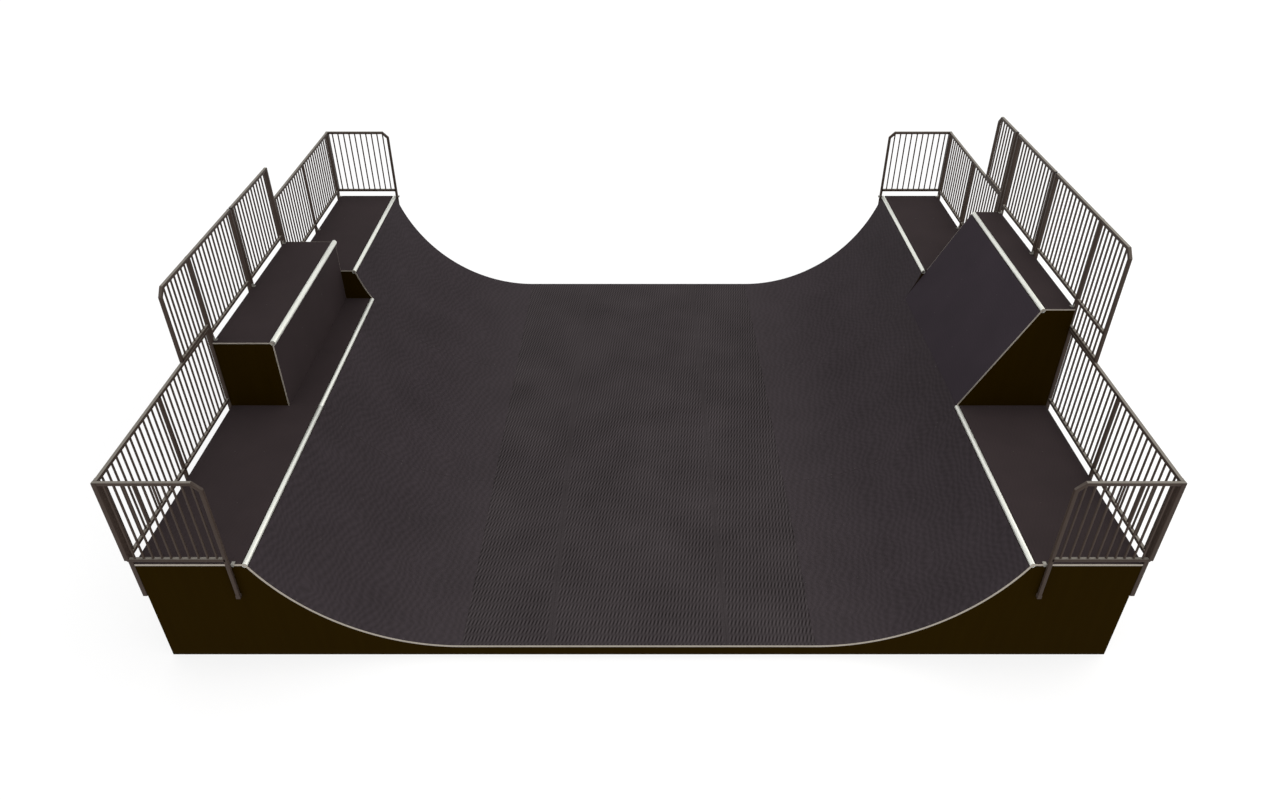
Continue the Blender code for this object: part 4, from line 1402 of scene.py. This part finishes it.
@dataclass
class Brackets:
    """Zinc-plated angles that tie the rails' posts and legs to the decks' edges."""

    plan: RampPlan
    finishes: Finishes
    thick: float = 0.004
    reach: float = 0.038
    half: float = 0.024
    seat: float = 0.0003
    wall_gap: float = 0.0005
    screw_shift: float = 0.013
    screw_inset: float = 0.022
    screw_sides: int = 12
    clamp_plate: float = 0.040
    clamp_flap: float = 0.030
    clamp_out: float = 0.0052
    clamp_drop: float = 0.034
    clamp_lap: float = 0.0002
    soften: float = 0.0006
    box_posts: tuple[float, ...] = (-1.45, 0.045, 1.47)
    extension_posts: tuple[float, ...] = (-1.45, 0.0725, 1.49)
    rear_insets: Point = (0.03, 0.04)

    def deck_angle(self, piece: Piece, side: int, y: float, deck: float) -> None:
        """Adds an angle on a deck's outer edge, one leg on the board and one up the post.

        Args:
            piece: The piece that gets it.
            side: -1 on the left and 1 on the right.
            y: Its middle along the edge.
            deck: Height of the deck.
        """
        edge, rise = side * self.plan.half_width, self.thick + self.seat
        wall, outer = edge + side * self.wall_gap, edge + side * (self.wall_gap + self.thick)
        x0, x1 = sorted((edge - side * self.reach, outer))
        piece.box((x0, y - self.half, deck + self.seat), (x1, y + self.half, deck + rise))
        x0, x1 = sorted((wall, outer))
        piece.box((x0, y - self.half, deck), (x1, y + self.half, deck + self.reach))
        for shift in (-self.screw_shift, self.screw_shift):
            place = Vector((edge - side * self.screw_inset, y + shift, deck + rise))
            piece.stud(place, Vector((0.0, 0.0, 1.0)), PAN_HEAD, self.screw_sides)

    def leg_clamp(self, piece: Piece, side: int, row: int, deck: float) -> None:
        """Adds the small angle beside a bent leg, folded down over the deck's edge.

        Args:
            piece: The piece that gets it.
            side: -1 on the left and 1 on the right.
            row: -1 at the front and 1 at the back.
            deck: Height of the deck.
        """
        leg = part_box("end_rail_front_right")[0].x
        near = self.plan.half_depth + self.clamp_out
        far = near + self.thick
        for width, start, low, high in (
            (self.clamp_plate, self.plan.half_depth - self.reach, self.seat, self.thick + self.seat),
            (self.clamp_flap, near, -self.clamp_drop, self.clamp_lap),
        ):
            x0, x1 = sorted((side * (leg - width), side * (leg - self.wall_gap)))
            y0, y1 = sorted((row * start, row * far))
            piece.box((x0, y0, deck + low), (x1, y1, deck + high))

    def build(self) -> None:
        """Makes the angles of every post that stands beside a deck's edge, and of the four bent legs."""
        plan = self.plan
        piece = Piece("rail_brackets")
        left = (-1, "left", plan.box_top, self.box_posts)
        right = (1, "right", plan.extension_top, self.extension_posts)
        for side, word, deck, places in (left, right):
            for y in places:
                self.deck_angle(piece, side, y, deck)
            low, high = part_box(f"side_rail_rear_{word}")
            first, last = self.rear_insets
            for y in (low.y + first, (low.y + high.y) / 2, high.y - last):
                self.deck_angle(piece, side, y, plan.high_deck)
            self.leg_clamp(piece, side, -1, plan.low_deck)
            self.leg_clamp(piece, side, 1, plan.high_deck)
        piece.finish((Paint.BRACKET,), self.finishes, (), self.soften)


@dataclass
class CadPanels:
    """The CAD solids that keep their shape: the brown panels and the timber frames."""

    finishes: Finishes
    nodes: dict[str, bpy.types.Object]

    def dress(self, node: str, paint: Paint) -> None:
        """Gives one CAD solid its finish.

        Args:
            node: The CAD solid.
            paint: Its finish.
        """
        made = self.nodes[node]
        made.data.materials.clear()
        made.data.materials.append(self.finishes[paint])
        LOG.info("%s: dressed as %s", node, self.finishes[paint].name)

    def build(self) -> None:
        """Dresses the panels and the frames."""
        for node in sorted(self.nodes):
            if node.startswith("frame_"):
                self.dress(node, Paint.TIMBER)
            elif "panel" in node or "fascia" in node:
                self.dress(node, Paint.PANEL)


# Stage


@dataclass(frozen=True)
class Softbox:
    """A soft studio light: where it hangs, where it points, its size and its power."""

    name: str
    place: tuple[float, float, float]
    target: tuple[float, float, float]
    size: tuple[float, float]
    watts: float
    tint: str = "#ffffff"

    def build(self) -> None:
        """Hangs the light."""
        data = bpy.data.lights.new(self.name, "AREA")
        data.shape = "RECTANGLE"
        data.size, data.size_y = self.size
        data.energy = self.watts
        data.color = linear(self.tint)[:3]
        lamp = bpy.data.objects.new(self.name, data)
        lamp.location = self.place
        direction = Vector(self.target) - Vector(self.place)
        lamp.rotation_euler = direction.to_track_quat("-Z", "Y").to_euler()
        bpy.context.scene.collection.objects.link(lamp)


@dataclass
class Studio:
    """Plain pale floor, soft light and the camera."""

    floor_reach: float = 90.0
    floor_drop: float = 0.001
    floor_sides: int = 64
    sky: float = 1.0
    camera_place: tuple[float, float, float] = (0.0, -12.0218, 8.8719)
    camera_tilt: float = 54.452
    lens: float = 26.351
    sensor: float = 36.0
    view_reach: float = 500.0
    shift: tuple[float, float] = (0.00096, 0.01018)
    lights: tuple[Softbox, ...] = (
        Softbox("high_right_light", (12.0, -1.0, 11.5), (-2.0, 0.0, 0.8), (8.0, 12.0), 560.0, "#fff8ee"),
        Softbox("back_light", (1.0, 16.0, 11.0), (0.0, 0.0, 1.0), (16.0, 6.0), 30.0),
        Softbox("front_light", (0.0, -15.0, 7.0), (0.0, -4.0, 1.5), (8.0, 4.0), 80.0),
    )

    def floor(self) -> None:
        """Lays the floor, a wide disc a hair below the ramp."""
        mesh = bmesh.new()
        reach, low = self.floor_reach, -self.floor_drop
        mesh.faces.new([mesh.verts.new((x * reach, y * reach, low)) for x, y in circle(self.floor_sides)])
        data = bpy.data.meshes.new("studio_floor")
        mesh.to_mesh(data)
        mesh.free()
        data.materials.append(StudioFloor("matt_studio_floor", 0.9, specular=0.1).make())
        floor = bpy.data.objects.new("studio_floor", data)
        bpy.context.scene.collection.objects.link(floor)

    def world(self) -> None:
        """Surrounds the ramp with even white light."""
        world = bpy.data.worlds.new("studio")
        world.use_nodes = True
        background = world.node_tree.nodes["Background"]
        background.inputs["Color"].default_value = WHITE
        background.inputs["Strength"].default_value = self.sky
        bpy.context.scene.world = world

    def camera(self) -> None:
        """Sets up the camera."""
        data = bpy.data.cameras.new("camera")
        data.sensor_fit = "HORIZONTAL"
        data.sensor_width = self.sensor
        data.lens = self.lens
        data.shift_x, data.shift_y = self.shift
        data.clip_end = self.view_reach
        camera = bpy.data.objects.new("camera", data)
        camera.location = self.camera_place
        camera.rotation_euler = (math.radians(self.camera_tilt), 0.0, 0.0)
        bpy.context.scene.collection.objects.link(camera)
        bpy.context.scene.camera = camera

    def build(self) -> None:
        """Builds the whole stage."""
        bpy.context.scene.view_settings.view_transform = "Standard"
        self.camera()
        self.world()
        self.floor()
        for light in self.lights:
            light.build()


def main() -> None:
    """Builds the ramp's sub-assemblies in order and reports each piece."""
    logging.basicConfig(level=logging.INFO, format="%(message)s")
    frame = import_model()
    plan = RampPlan()
    finishes = make_finishes()
    Studio().build()
    CadPanels(finishes, frame["nodes"]).build()
    RidingBoards(plan, finishes).build()
    Copings(finishes).build()
    EdgeStrips(plan, finishes).build()
    GuardRails(plan, finishes).build()
    Brackets(plan, finishes).build()


if __name__ == "__main__":
    main()
